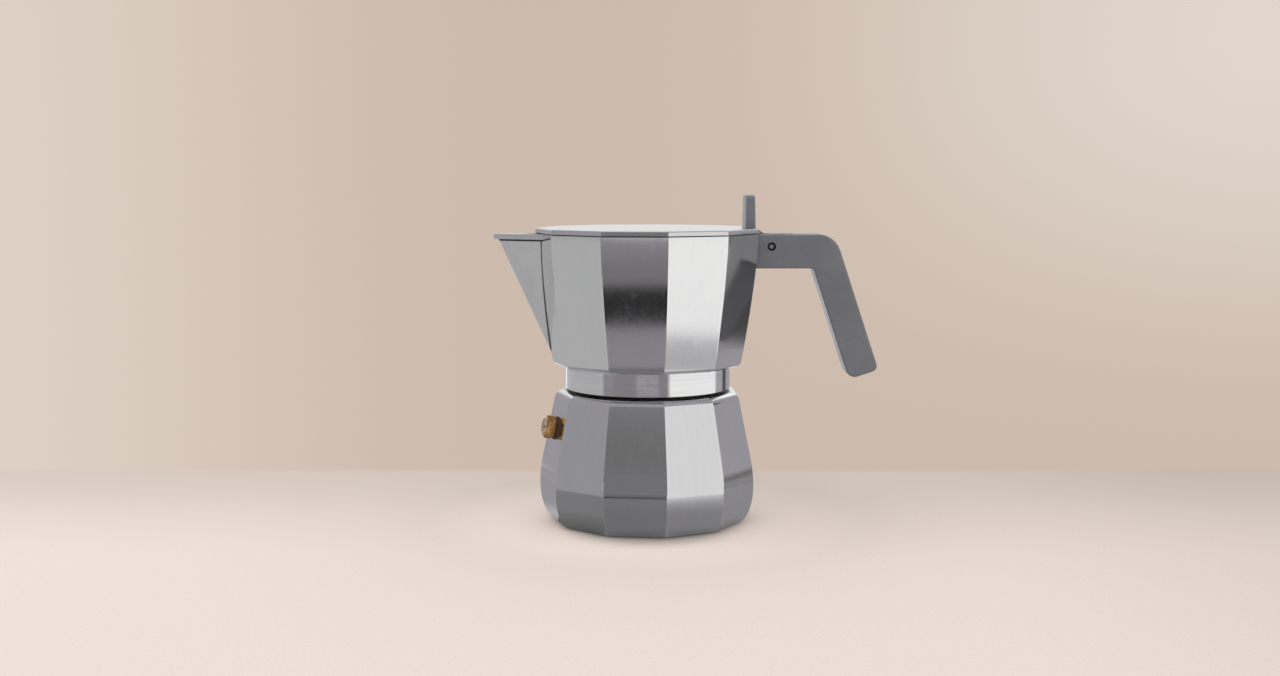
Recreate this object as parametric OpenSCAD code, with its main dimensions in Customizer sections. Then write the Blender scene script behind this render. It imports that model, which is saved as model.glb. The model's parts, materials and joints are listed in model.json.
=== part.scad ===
// Moka pot: a faceted cast aluminium stovetop coffee maker.
// The axis of the pot is Z and the base stands on Z = 0.
// The spout points along -X and the handle along +X.

/* [Facets] */
// Number of flat sides: odd, so a corner meets the spout and a flat meets the handle
sides = 11; // [9:2:13]
// Rounding of the upright edges between two flats
edge_r = 1.2; // [0.6:0.1:2]

/* [Boiler] */
// Widest size of the boiler, from its axis to a corner
belly_r = 48.3; // [44:0.1:52]
// Height of the widest level
belly_z = 16.5; // [12:0.5:22]
// Radius of the curve that leads from the belly up into the taper
belly_round = 60; // [20:1:80]
// Size of the flat base, from its axis to a corner
base_r = 40.8; // [36:0.1:43]
// Size where the flats end under the shoulder, from the axis to a corner
shoulder_r = 41.8; // [41:0.1:44]
// Height of the shoulder, where the neck begins
boiler_h = 58.3; // [54:0.1:70]
// Thickness of the boiler's wall
boiler_wall = 3; // [2.4:0.1:4]
// Thickness of the boiler's floor
boiler_floor = 3.2; // [2:0.1:5]
// Outer radius of the neck, at the root of its thread
neck_r = 32; // [30:0.1:33]
// Height of the neck above the shoulder
neck_h = 10.2; // [8:0.1:13]
// Thickness of the neck's wall
neck_wall = 3.6; // [2.5:0.1:4.5]

/* [Collector] */
// Height of the rim above the foot of the flats
collector_h = 58.4; // [50:0.1:70]
// Size of the rim, from the axis to a corner
rim_r = 50; // [48:0.1:54]
// How far the corners at the foot of the flats stand out beyond the skirt
foot_over = 5.5; // [5:0.1:8]
// Thickness of the collector's wall
collector_wall = 2.6; // [2:0.1:3.5]
// Thickness of the collector's floor above the filter plate
collector_floor = 2.8; // [2:0.1:5]
// Thickness of the turned skirt around the thread
skirt_wall = 2.5; // [2:0.1:4]
// Gap between the skirt and the boiler's shoulder
skirt_gap = 1.2; // [0.6:0.1:2]
// Room for both threads between the neck and the skirt's bore
thread_room = 2; // [1.2:0.1:2.2]
// Radius of the column at its top
column_top_r = 6.2; // [5.5:0.1:8]
// Distance from the column's top down from the rim
column_drop = 12; // [6:0.5:25]
// Radius of the passage up the column
column_bore_r = 3.6; // [2.5:0.1:4]
// Width of the two outlets at the top of the column
outlet_w = 5; // [3:0.1:6]
// Height of the two outlets
outlet_h = 8; // [4:0.5:12]

/* [Spout] */
// Reach of the spout's edge beyond the rim's corner, at the lip
spout_reach = 16.8; // [8:0.1:24]
// Half of the angle between the spout's two sides
spout_half_angle = 28.4; // [22:0.1:34]
// Thickness of the spout's sides
spout_wall = 2.2; // [1.6:0.1:3]
// Thickness of the lip around the spout
lip_t = 2.3; // [1.5:0.1:3]
// How far the lip stands out from the spout's sides
lip_over = 1; // [0.5:0.1:2]
// How far the lip's top lies below the rim
lip_drop = 0.3; // [0.1:0.1:1]

/* [Seals] */
// Thickness of the funnel's flange
flange_t = 0.9; // [0.6:0.1:1.5]
// Thickness of the gasket
gasket_t = 3.2; // [2:0.1:5]
// How far the gasket reaches out beyond the neck
gasket_over = 0.7; // [0:0.1:0.9]
// Width of the gasket's ring
gasket_w = 6.5; // [5:0.1:7]
// Thickness of the filter plate
filter_t = 0.8; // [0.5:0.1:1.2]
// How far the filter plate lies over the gasket
filter_over = 2.1; // [1.5:0.1:4]
// Radius of the holes in the filter plate and in the funnel's screen
filter_hole_r = 0.65; // [0.4:0.05:0.8]
// Rings of holes in the filter plate
filter_rings = 6; // [3:1:7]

/* [Funnel] */
// Gap between the coffee basket and the neck's bore
basket_gap = 0.8; // [0.4:0.1:2]
// Depth of the basket below its flange
basket_h = 19; // [14:0.5:26]
// Thickness of the funnel's sheet
funnel_wall = 0.8; // [0.6:0.1:1.2]
// Outer radius of the stem
stem_r = 4.3; // [4:0.1:6]
// Gap between the stem and the boiler's floor
stem_gap = 6; // [4:0.5:12]
// Thickness of the perforated screen in the basket
screen_t = 0.6; // [0.5:0.1:1]

/* [Lid] */
// Thickness of the lid
lid_t = 2.3; // [1.8:0.1:3.5]
// How far the lid's edge lies inside the rim's edge
lid_inset = 0.2; // [0:0.1:2]
// Depth of the rib that locates the lid in the rim
rib_h = 1.6; // [1:0.1:2]
// Width of that rib
rib_w = 1.6; // [1:0.1:3]
// Room between the rib and the rim
rib_room = 1.5; // [1.3:0.1:2.5]

/* [Knob] */
// Height of the thumb tab
knob_h = 14.4; // [8:0.1:20]
// Width of the tab, along the hinge
knob_w = 18; // [12:0.5:22]
// Thickness of the tab at its foot
knob_t = 4.5; // [4:0.1:5]
// Distance from the tab to the lid's back edge
knob_inset = 0.8; // [0.5:0.1:1.5]
// Thread radius of the knob's screws
knob_screw_r = 1.25; // [1:0.05:1.5]
// Length of the knob's screws
knob_screw_l = 9; // [6:0.5:11]

/* [Hinge] */
// Radius of the hinge pin
pin_r = 1.2; // [1:0.05:1.4]
// Distance of the pin behind the rim's back flat
pin_back = 6.3; // [5.8:0.1:7]
// Distance of the pin below the rim
pin_drop = 5.8; // [5.5:0.1:6.5]
// Radius of the recess around the pin's ends
recess_r = 1.9; // [1.7:0.05:2.2]
// Depth of the recess
recess_h = 1.2; // [0.8:0.1:1.4]
// Width of the lid's tongue
tongue_w = 4.4; // [3:0.1:5]
// Thickness of each ear of the collector's lug
ear_w = 2; // [1.6:0.1:2.4]

/* [Handle] */
// Width of the handle, along the hinge pin
handle_w = 14; // [13.2:0.1:18]
// Depth of the arm, from its top to its underside
arm_h = 15.1; // [13.5:0.1:19]
// Reach of the arm's outer corner from the axis
arm_reach = 82.3; // [76:0.1:95]
// Width of the leg, along the arm
leg_w = 14.6; // [10:0.1:18]
// Height of the whole handle, from the arm's top to the leg's foot
handle_h = 64.5; // [45:0.1:75]
// Lean of the leg away from the pot
leg_lean = 18.4; // [8:0.1:24]
// Rounding of the outer corner
elbow_r = 10.5; // [6:0.5:14]
// Rounding of all the handle's edges
handle_edge_r = 1.1; // [0.5:0.1:1.4]
// Thread radius of the handle's screw
handle_screw_r = 1.95; // [1.5:0.05:2.2]

/* [Safety valve] */
// Distance of the valve's axis below the boiler's shoulder
valve_drop = 15.5; // [14:0.1:20]
// Width across the hexagon's flats
hex_af = 8.8; // [7.9:0.1:10]
// Length of the hexagon
hex_l = 3.6; // [3:0.1:6]
// How far the valve's round collar stands out beyond the hexagon's flats
valve_flange_over = 0.3; // [0.2:0.1:2]
// Thickness of the valve's shank around its chamber
shank_wall = 1; // [0.8:0.05:1.4]
// Radius of the plunger's stem
plunger_r = 0.8; // [0.5:0.05:1]
// Radius of the spring's wire
wire_r = 0.25; // [0.2:0.05:0.3]
// Number of turns in the spring
spring_turns = 6; // [4:1:7]

/* [Hidden] */

// Colours of the materials
cast_colour = [0.66, 0.66, 0.68];
sheet_colour = [0.78, 0.78, 0.79];
brass_colour = [0.62, 0.46, 0.18];
steel_colour = [0.72, 0.72, 0.74];
rubber_colour = [0.85, 0.84, 0.80];
plastic_colour = [0.40, 0.41, 0.43];
fibre_colour = [0.13, 0.08, 0.05];

// Clearances and overlaps
joint_gap = 0.05;      // between flat faces of pieces that part
fit_gap = 0.03;        // around a screw or a pin that stays put
run_gap = 0.06;        // around a pin or a stem that moves
seat_room = 0.3;       // around a disc that lies in a round seat
cut = 1;               // how far a cut runs past the face it opens
blend = 0.4;           // how far a joined shape sinks into its neighbour
round_fn = 96;         // smoothness of large round shapes
small_fn = 48;         // smoothness of small round shapes

// The corners of a rounded polygon ring lie on these steps
corner_steps = 3;
half_side = 180 / sides;
flat_ratio = cos(half_side);   // from a corner's radius to a flat's distance

// Levels of the stack that the skirt clamps together
foot_step = 1.1;               // from the neck's top to the foot of the collector's flats
neck_top = boiler_h + neck_h;
flange_top = neck_top + joint_gap + flange_t;
gasket_z = flange_top + joint_gap;
gasket_top = gasket_z + gasket_t;
filter_z = gasket_top + joint_gap;
filter_seat_z = filter_z + filter_t + joint_gap;
foot_z = neck_top + foot_step;
floor_z = filter_seat_z + collector_floor;
rim_z = foot_z + collector_h;
skirt_z = boiler_h + skirt_gap;
neck_bore_r = neck_r - neck_wall;
basket_r = neck_bore_r - basket_gap;
skirt_bore_r = neck_r + thread_room;
skirt_r = skirt_bore_r + skirt_wall;
foot_r = skirt_r + foot_over;
gasket_r = neck_r + gasket_over;
gasket_bore_r = gasket_r - gasket_w;
filter_r = gasket_bore_r + filter_over;
gasket_seat_r = gasket_r + seat_room;
filter_seat_r = filter_r + seat_room;
column_top_z = rim_z - column_drop;

// Hinge and handle
lid_r = rim_r - lid_inset;
lid_z = rim_z + joint_gap;
lid_top = lid_z + lid_t;
rim_flat = rim_r * flat_ratio;
lid_flat = lid_r * flat_ratio;
pin_x = rim_flat + pin_back;
pin_z = rim_z - pin_drop;
barrel_r = pin_r + 1.7;             // outside of the tongue's eye
side_gap = 0.3;                     // between the tongue and each ear
ear_in = tongue_w / 2 + side_gap;
ear_out = ear_in + ear_w;
slot_half = ear_out + 0.1;          // half width of the handle's slot
web_t = 3;                          // thickness of the lug's web
web_top = pin_z - barrel_r - 0.5;
web_z = web_top - web_t;
lug_end = pin_x + 6;
swing_r = 9.9;                      // reach of the tongue behind the pin when the lid is up
arm_drop = 0.4;                     // the arm's top lies this far below the rim
arm_top = rim_z - arm_drop;
arm_z = arm_top - arm_h;
leg_foot_z = arm_top - handle_h;
face_gap = 0.25;                    // between the handle's face and the collector's flat
handle_screw_x = pin_x + 1;
head_ratio = 1.9;                   // radius of a countersunk head over its thread's radius
knob_x = lid_flat - knob_inset - knob_t / 2;

// Boiler: its flats lean in from the belly to the foot of the rounded shoulder
shoulder_round = 4;
taper_h = boiler_h - shoulder_round - belly_z;
taper_in = belly_r - shoulder_r;
whole_arc = (pow(taper_h, 2) + pow(taper_in, 2)) / (2 * taper_in);  // it would leave no taper
belly_arc = min(belly_round, 0.95 * whole_arc);
taper_lean = atan2(taper_h, belly_arc - taper_in) - acos(belly_arc / norm([belly_arc - taper_in, taper_h]));
taper = tan(taper_lean);

// Safety valve, along its own axis from the boiler's flat outwards
valve_tilt = atan(taper * flat_ratio);
valve_turn = 180 + half_side;
valve_z = boiler_h - valve_drop;
valve_flange_r = hex_af / 2 + valve_flange_over;
shank_step = 0.2;                   // from the hexagon's flats in to the shank
shank_r = hex_af / 2 - shank_step;
chamber_r = shank_r - shank_wall;
valve_washer_t = 0.6;
valve_flange_z = valve_washer_t + joint_gap;
valve_flange_t = 0.5;
groove_l = 0.2;
hex_z = valve_flange_z + valve_flange_t + groove_l;
hex_top = hex_z + hex_l;
nose_l = 0.8;
nose_top = hex_top + nose_l;
seat_z = -4;
seat_t = 1.5;
seal_t = 0.6;
disc_z = seat_z + joint_gap + seal_t;
disc_t = 1;
spring_z = disc_z + disc_t + joint_gap;
cap_t = 1.2;
cap_z = nose_top - 0.2 - cap_t;

// ---------- Shared shapes ----------

// Angle of a corner; the first one points along -X
function corner_angle(k) = 180 + k * 360 / sides;

// One ring of the faceted bodies: a polygon of radius r with its corners rounded by c
function ring(r, c, z) = [
    for (k = [0:sides - 1], j = [0:corner_steps])
        let (
            mid = corner_angle(k),
            a = mid + (2 * j / corner_steps - 1) * half_side,
            centre = r - c / flat_ratio
        )
        [centre * cos(mid) + c * cos(a), centre * sin(mid) + c * sin(a), z]
];

// A solid through rings of equal count, given as [height, radius] from the bottom up
module faceted(levels, c) {
    count = sides * (corner_steps + 1);
    last = len(levels) - 1;
    polyhedron(
        points = [for (l = levels) each ring(l[1], c, l[0])],
        faces = concat(
            [[for (i = [0:count - 1]) i]],
            [[for (i = [0:count - 1]) last * count + count - 1 - i]],
            [
                for (l = [0:last - 1], i = [0:count - 1])
                    let (n = (i + 1) % count)
                    [l * count + i, (l + 1) * count + i, (l + 1) * count + n, l * count + n]
            ]
        )
    );
}

// Points of a quarter of an ellipse, from angle a to angle b in n steps
function arc_levels(z, r, rise, reach, a, b, n) = [
    for (i = [0:n]) let (t = a + (b - a) * i / n) [z + rise * sin(t), r + reach * cos(t)]
];

// An outline whose corners are replaced by arcs; each corner is [x, y, radius]
function rounded(corners, steps) = [
    for (i = [0:len(corners) - 1])
        let (
            n = len(corners),
            p = [corners[i][0], corners[i][1]],
            before = corners[(i + n - 1) % n],
            after = corners[(i + 1) % n],
            u = unit([before[0], before[1]] - p),
            v = unit([after[0], after[1]] - p),
            half = acos(u * v) / 2,
            r = corners[i][2],
            centre = p + unit(u + v) * r / sin(half),
            from = p + u * r / tan(half) - centre,
            turn = sign(cross(u, v)) * (2 * half - 180)
        )
        for (j = [0:steps])
            let (a = turn * j / steps)
            centre + [from[0] * cos(a) - from[1] * sin(a), from[0] * sin(a) + from[1] * cos(a)]
];
function unit(v) = v / norm(v);

// Stands an outline drawn in X and Z upright, w wide about Y = 0
module upright(w) {
    rotate([90, 0, 0])
        translate([0, 0, -w / 2])
            linear_extrude(w) children();
}

// A round bar along Y
module cross_bar(r, w) {
    rotate([90, 0, 0]) cylinder(r = r, h = w, center = true, $fn = small_fn);
}

// The place and direction of the safety valve
module at_valve() {
    flat = taper_r(valve_z) * flat_ratio;
    rotate([0, 0, valve_turn])
        translate([flat, 0, valve_z])
            rotate([0, 90 - valve_tilt, 0]) children();
}

// A disc with rings of holes around a plain middle: each ring has six more than the last
module perforated(r, t, rings) {
    pitch = (gasket_bore_r - 2.5) / filter_rings;
    linear_extrude(t)
        difference() {
            circle(r, $fn = round_fn);
            for (k = [1:rings], j = [0:6 * k - 1])
                rotate(j * 60 / k) translate([pitch * k, 0]) circle(filter_hole_r, $fn = 16);
        }
}

// ---------- Boiler ----------

// Radius of the boiler's taper, to a corner, at a height
function taper_r(z) = shoulder_r + taper * (boiler_h - shoulder_round - z);

// Outer levels: bulging foot, soft belly, straight taper, rounded shoulder
function boiler_levels() =
    let (round_z = boiler_h - shoulder_round)
    concat(
        arc_levels(belly_z, base_r, belly_z, belly_r - base_r, -90, 0, 7),
        arc_levels(
            belly_z, belly_r - belly_arc, belly_arc, belly_arc,
            taper_lean / 4, taper_lean, 3
        ),
        arc_levels(
            round_z, taper_r(round_z + shoulder_round * sin(taper_lean)) - shoulder_round * cos(taper_lean),
            shoulder_round, shoulder_round, taper_lean, 90, 4
        )
    );

// Inner levels follow the outer ones, a wall inside them
function boiler_hollow() =
    let (wall = boiler_wall / flat_ratio, top = boiler_h - shoulder_round)
    [
        [boiler_floor, base_r - wall],
        [boiler_floor + 1.5, base_r - wall + 3.2],
        [boiler_floor + 5, belly_r - wall - 1.2],
        [belly_z, belly_r - wall],
        [top - boiler_wall, taper_r(top - boiler_wall) - wall],
        [top + 0.5, neck_bore_r + boiler_wall]
    ];

module boiler() {
    boss_r = shank_r + 2.6;
    hollow_r = 6;
    bore_l = neck_h + 2 * shoulder_round;
    color(cast_colour)
        difference() {
            union() {
                difference() {
                    faceted(boiler_levels(), edge_r);
                    faceted(boiler_hollow(), hollow_r);
                }
                translate([0, 0, boiler_h - blend])
                    cylinder(r = neck_r, h = neck_h + blend, $fn = round_fn);
                at_valve()
                    translate([0, 0, seat_z - 0.8])
                        cylinder(r = boss_r, h = -seat_z - 0.2, $fn = small_fn);
            }
            translate([0, 0, neck_top - bore_l])
                cylinder(r = neck_bore_r, h = bore_l + cut, $fn = round_fn);
            at_valve()
                translate([0, 0, seat_z - seat_t - cut])
                    cylinder(r = shank_r + fit_gap, h = -seat_z + seat_t + 3 * cut, $fn = small_fn);
        }
}

// ---------- Safety valve ----------

module valve_body() {
    hex_r = hex_af / 2 / cos(30);
    nose_r = hex_af / 2 - 0.7;
    color(brass_colour)
        at_valve()
            difference() {
                union() {
                    translate([0, 0, seat_z - seat_t])
                        cylinder(r = shank_r, h = valve_flange_z - seat_z + seat_t + blend, $fn = small_fn);
                    translate([0, 0, valve_flange_z])
                        cylinder(r = valve_flange_r, h = valve_flange_t, $fn = small_fn);
                    translate([0, 0, valve_flange_z])
                        cylinder(r = shank_r - 0.1, h = valve_flange_t + groove_l + blend, $fn = small_fn);
                    intersection() {
                        translate([0, 0, hex_z]) cylinder(r = hex_r, h = hex_l + nose_l, $fn = 6);
                        rotate_extrude($fn = small_fn)
                            polygon([
                                [0, hex_z], [hex_r - 0.5, hex_z], [hex_r + 0.1, hex_z + 0.4],
                                [hex_r + 0.1, hex_top - 0.4], [hex_r - 0.6, hex_top],
                                [nose_r, nose_top], [0, nose_top]
                            ]);
                    }
                }
                translate([0, 0, seat_z]) cylinder(r = chamber_r, h = nose_top - seat_z + cut, $fn = small_fn);
                translate([0, 0, seat_z - seat_t - cut])
                    cylinder(r = chamber_r / 2, h = seat_t + 2 * cut, $fn = small_fn);
            }
}

module valve_washer() {
    color(fibre_colour)
        at_valve()
            translate([0, 0, joint_gap / 2])
                difference() {
                    cylinder(r = valve_flange_r + 0.4, h = valve_washer_t, $fn = small_fn);
                    translate([0, 0, -cut])
                        cylinder(r = shank_r + fit_gap, h = valve_washer_t + 2 * cut, $fn = small_fn);
                }
}

module valve_plunger() {
    color(brass_colour)
        at_valve() {
            translate([0, 0, disc_z]) cylinder(r = chamber_r - 0.5, h = disc_t, $fn = small_fn);
            translate([0, 0, disc_z])
                cylinder(r = plunger_r, h = nose_top + 0.4 - disc_z, $fn = small_fn);
        }
}

module valve_seal() {
    color(rubber_colour)
        at_valve()
            translate([0, 0, seat_z + joint_gap])
                cylinder(r = chamber_r - 0.7, h = seal_t, $fn = small_fn);
}

// Points of one section of the spring's wire, part t of the way along it
function wire_section(t, coil_r, length) = [
    for (s = [0:5])
        let (a = t * spring_turns * 360, b = s * 60, r = coil_r + wire_r * cos(b))
        [r * cos(a), r * sin(a), t * length + wire_r * sin(b)]
];

module valve_spring() {
    coil_r = (chamber_r + plunger_r) / 2;
    length = cap_z - joint_gap - spring_z - 2 * wire_r;
    steps = spring_turns * 12;
    color(steel_colour)
        at_valve()
            translate([0, 0, spring_z + wire_r])
                polyhedron(
                    points = [for (i = [0:steps]) each wire_section(i / steps, coil_r, length)],
                    faces = concat(
                        [[for (s = [0:5]) s]],
                        [[for (s = [0:5]) steps * 6 + 5 - s]],
                        [
                            for (i = [0:steps - 1], s = [0:5])
                                let (n = (s + 1) % 6)
                                [i * 6 + s, (i + 1) * 6 + s, (i + 1) * 6 + n, i * 6 + n]
                        ]
                    )
                );
}

module valve_cap() {
    color(brass_colour)
        at_valve()
            translate([0, 0, cap_z])
                difference() {
                    cylinder(r = chamber_r - fit_gap, h = cap_t, $fn = small_fn);
                    translate([0, 0, -cut])
                        cylinder(r = plunger_r + run_gap, h = cap_t + 2 * cut, $fn = small_fn);
                }
}

// ---------- Funnel ----------

// Half section of the sheet funnel, outside then back up the inside
module funnel_section() {
    top = flange_top;
    under = top - flange_t;
    floor_level = top - basket_h;
    stem_top = floor_level - 5;
    stem_end = boiler_floor + stem_gap;
    inner = basket_r - funnel_wall;
    stem_in = stem_r - funnel_wall;
    polygon([
        [neck_r - 0.2, top], [neck_r - 0.2, under], [basket_r, under],
        [basket_r, floor_level], [basket_r - 2, floor_level - 2],
        [stem_r + 1, stem_top], [stem_r, stem_top - 1.2], [stem_r, stem_end],
        [stem_in, stem_end], [stem_in, stem_top - 1], [stem_in + 1, stem_top + funnel_wall],
        [inner - 2.2, floor_level - 1.2], [inner - 2.2, floor_level], [inner, floor_level],
        [inner, top - 1.2], [inner + 0.6, top]
    ]);
}

module funnel() {
    color(sheet_colour) rotate_extrude($fn = round_fn) funnel_section();
}

module funnel_screen() {
    screen_r = basket_r - funnel_wall - 0.1;
    color(sheet_colour)
        translate([0, 0, flange_top - basket_h + joint_gap])
            perforated(screen_r, screen_t, filter_rings - 1);
}

// ---------- Seals ----------

module gasket() {
    color(rubber_colour)
        translate([0, 0, gasket_z])
            rotate_extrude($fn = round_fn)
                polygon([
                    [gasket_bore_r, 0.4], [gasket_bore_r + 0.4, 0], [gasket_r - 0.4, 0],
                    [gasket_r, 0.4], [gasket_r, gasket_t - 0.4], [gasket_r - 0.4, gasket_t],
                    [gasket_bore_r + 0.4, gasket_t], [gasket_bore_r, gasket_t - 0.4]
                ]);
}

module filter_plate() {
    color(sheet_colour)
        translate([0, 0, filter_z]) perforated(filter_r, filter_t, filter_rings);
}

// ---------- Collector ----------

// Radius of the flats' corners at a height: steeper towards the rim
function wall_r(z) = rim_r - (rim_r - foot_r) * pow((rim_z - z) / collector_h, 1.4);

function wall_levels(z0, z1, n, inside) = [
    for (i = [0:n]) let (z = z0 + (z1 - z0) * i / n) [z, wall_r(z) - inside]
];

// Distance of the spout's edge from the axis: a straight line from the foot to the lip
lip_z = rim_z - lip_drop - lip_t;
spout_root = foot_r - 10;      // the spout's sides start this far from the axis, inside the wall
function spout_edge(z) =
    foot_r + (rim_r + spout_reach - foot_r) * (z - foot_z - 1.5) / (lip_z - foot_z - 1.5);

// A flat V whose point is reach from the axis, with a rounded tip
module vee(reach, tip_r) {
    run = reach - spout_root;
    polygon(concat(
        [[-spout_root, run * tan(spout_half_angle)]],
        [
            for (i = [0:4])
                let (a = -90 + spout_half_angle + i * (90 - spout_half_angle) / 2)
                [
                    -reach + tip_r / sin(spout_half_angle) - tip_r * cos(a),
                    -tip_r * sin(a)
                ]
        ],
        [[-spout_root, -run * tan(spout_half_angle)]]
    ));
}

// A wedge between two levels whose point follows the spout's edge, moved in by inset
module spout_wedge(z0, z1, inset, tip_r) {
    slice = 0.01;
    hull() {
        translate([0, 0, z0]) linear_extrude(slice) vee(spout_edge(z0) - inset, tip_r);
        translate([0, 0, z1 - slice]) linear_extrude(slice) vee(spout_edge(z1) - inset, tip_r);
    }
}

// Lug with a web under the handle's slot and two ears for the hinge pin
module lug() {
    root = rim_flat - 4;
    difference() {
        upright(2 * ear_out)
            polygon([
                [root, web_z], [lug_end, web_z], [lug_end, web_top], [pin_x + 5, rim_z - 0.1],
                [pin_x - 1, rim_z - 0.1], [pin_x - 3.8, web_top], [root, web_top]
            ]);
        translate([root - cut, -ear_in, web_top]) cube([lug_end - root + 2 * cut, 2 * ear_in, 20]);
    }
}

// Funnel-shaped floor and column, with the coffee's passage up the middle
module column() {
    foot_ring = filter_seat_r - 2;
    difference() {
        rotate_extrude($fn = round_fn)
            polygon([
                [0, floor_z - blend], [foot_ring, floor_z - blend], [foot_ring, floor_z],
                [column_top_r + 3.4, floor_z + 8], [column_top_r + 2, floor_z + 11],
                [column_top_r, column_top_z - 4], [column_top_r - 0.6, column_top_z - 1.8],
                [column_top_r - 2.4, column_top_z], [0, column_top_z]
            ]);
        passage();
    }
}

// The room under the floor and the bore of the column
module passage() {
    rotate_extrude($fn = round_fn)
        polygon([
            [0, filter_seat_z - cut], [filter_seat_r - 4, filter_seat_z - cut],
            [filter_seat_r - 4, filter_seat_z], [column_bore_r, filter_seat_z + 7.6],
            [column_bore_r, column_top_z - 4], [0, column_top_z - 4]
        ]);
    for (side = [-1, 1])
        translate([-outlet_w / 2, side > 0 ? 0 : -2 * column_top_r, column_top_z - 4 - outlet_h])
            cube([outlet_w, 2 * column_top_r, outlet_h]);
}

module collector() {
    wall = collector_wall / flat_ratio;
    underside = concat(
        [[foot_z, foot_r - 2]],
        [[foot_z + 0.6, foot_r - 0.6]],
        wall_levels(foot_z + 2, rim_z, 8, 0)
    );
    hollow = concat(
        [[floor_z, wall_r(floor_z) - wall - 2.5]],
        [[floor_z + 0.8, wall_r(floor_z) - wall - 0.8]],
        wall_levels(floor_z + 2.5, rim_z, 7, wall),
        [[rim_z + cut, rim_r - wall]]
    );
    color(cast_colour) {
        difference() {
            union() {
                faceted(underside, edge_r);
                translate([0, 0, skirt_z])
                    cylinder(r = skirt_r, h = foot_z + 1 - skirt_z, $fn = round_fn);
                spout_wedge(foot_z + 1.5, lip_z + blend, 0, 0.8);
                translate([0, 0, lip_z])
                    linear_extrude(lip_t)
                        vee(spout_edge(lip_z) + lip_over / sin(spout_half_angle), 0.8);
                lug();
            }
            faceted(hollow, edge_r + 1.6);
            spout_wedge(floor_z + 0.5, rim_z + cut, spout_wall / sin(spout_half_angle), 0.6);
            translate([0, 0, skirt_z - cut])
                cylinder(r = skirt_bore_r, h = neck_top + 0.4 + cut - skirt_z, $fn = round_fn);
            translate([0, 0, skirt_z])
                cylinder(r = gasket_seat_r, h = gasket_top + joint_gap - skirt_z, $fn = round_fn);
            translate([0, 0, skirt_z])
                cylinder(r = filter_seat_r, h = filter_seat_z - skirt_z, $fn = round_fn);
            passage();
            translate([pin_x, 0, pin_z]) cross_bar(pin_r + fit_gap, 2 * handle_w);
            translate([handle_screw_x, 0, web_z - cut])
                cylinder(r = handle_screw_r + fit_gap, h = web_t + 2 * cut, $fn = small_fn);
        }
        column();
    }
}

// ---------- Lid and knob ----------

// Places its children at the two screws of the knob
module at_knob_screws() {
    for (side = [-1, 1])
        translate([knob_x, side * knob_w / 3.6, lid_z]) children();
}

// A countersunk screw, head down, with its flat face at Z = 0
module countersunk(r, length, grow) {
    shaft_r = r + grow;
    head_r = head_ratio * r + grow;
    edge = 0.2;
    neck = edge + head_r - shaft_r;
    cylinder(r = shaft_r, h = length, $fn = small_fn);
    rotate_extrude($fn = small_fn)
        polygon([[0, 0], [head_r, 0], [head_r, edge], [shaft_r, neck], [0, neck]]);
}

module tongue() {
    upright(tongue_w)
        polygon([
            [lid_flat - 4, lid_z], [lid_flat - 4, lid_top], [rim_flat + 2.6, lid_top],
            [pin_x + barrel_r * 0.82, pin_z + barrel_r * 0.57], [pin_x, pin_z - 1],
            [pin_x - barrel_r, pin_z], [rim_flat + 2.4, lid_z - 1.4], [rim_flat + 1.6, lid_z]
        ]);
    translate([pin_x, 0, pin_z]) cross_bar(barrel_r, tongue_w);
}

// The rib under the lid, left out at the back where the knob's screws go in
module rib(r) {
    inner_r = r - rib_w / flat_ratio;
    gap_w = knob_w + 2;
    difference() {
        faceted([[lid_z - rib_h, r], [lid_z + blend, r]], edge_r);
        faceted([[lid_z - rib_h - cut, inner_r], [lid_z + blend + cut, inner_r]], edge_r);
        translate([knob_x - knob_t, -gap_w / 2, lid_z - rib_h - cut])
            cube([knob_t + 2 * rib_w, gap_w, rib_h + cut]);
    }
}

module lid() {
    rib_r = rim_r - (collector_wall + rib_room) / flat_ratio;
    color(cast_colour)
        difference() {
            union() {
                faceted([
                    [lid_z, lid_r - 0.2], [lid_z + 0.2, lid_r],
                    [lid_top - 0.5, lid_r], [lid_top - 0.15, lid_r - 0.3], [lid_top, lid_r - 0.8]
                ], edge_r);
                rib(rib_r);
                tongue();
            }
            translate([pin_x, 0, pin_z]) cross_bar(pin_r + run_gap, 2 * tongue_w);
            at_knob_screws() translate([0, 0, -0.01]) countersunk(knob_screw_r, lid_t + cut, fit_gap);
        }
}

module knob() {
    foot = [knob_t, knob_w];
    top = [knob_t - 0.5, knob_w - 1.6];
    soft = 0.7;
    slice = 0.5;
    color(plastic_colour)
        difference() {
            hull() {
                translate([knob_x, 0, lid_top + joint_gap / 2])
                    linear_extrude(slice) rounded_block(foot, soft);
                translate([knob_x, 0, lid_top + knob_h - 2.5])
                    linear_extrude(slice) rounded_block(top, soft);
                translate([knob_x, 0, lid_top + knob_h - slice])
                    linear_extrude(slice) rounded_block(top - [1, 3.4], soft);
            }
            at_knob_screws()
                translate([0, 0, lid_t])
                    cylinder(r = knob_screw_r + fit_gap, h = knob_screw_l - lid_t + 0.4, $fn = small_fn);
        }
}

// A rectangle with rounded corners about the origin
module rounded_block(size, r) {
    x = size[0] / 2;
    y = size[1] / 2;
    polygon(rounded([[-x, -y, r], [x, -y, r], [x, y, r], [-x, y, r]], 4));
}

module knob_screws() {
    color(steel_colour)
        at_knob_screws() translate([0, 0, 0.02]) countersunk(knob_screw_r, knob_screw_l, 0);
}

// ---------- Handle and hinge pin ----------

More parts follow.
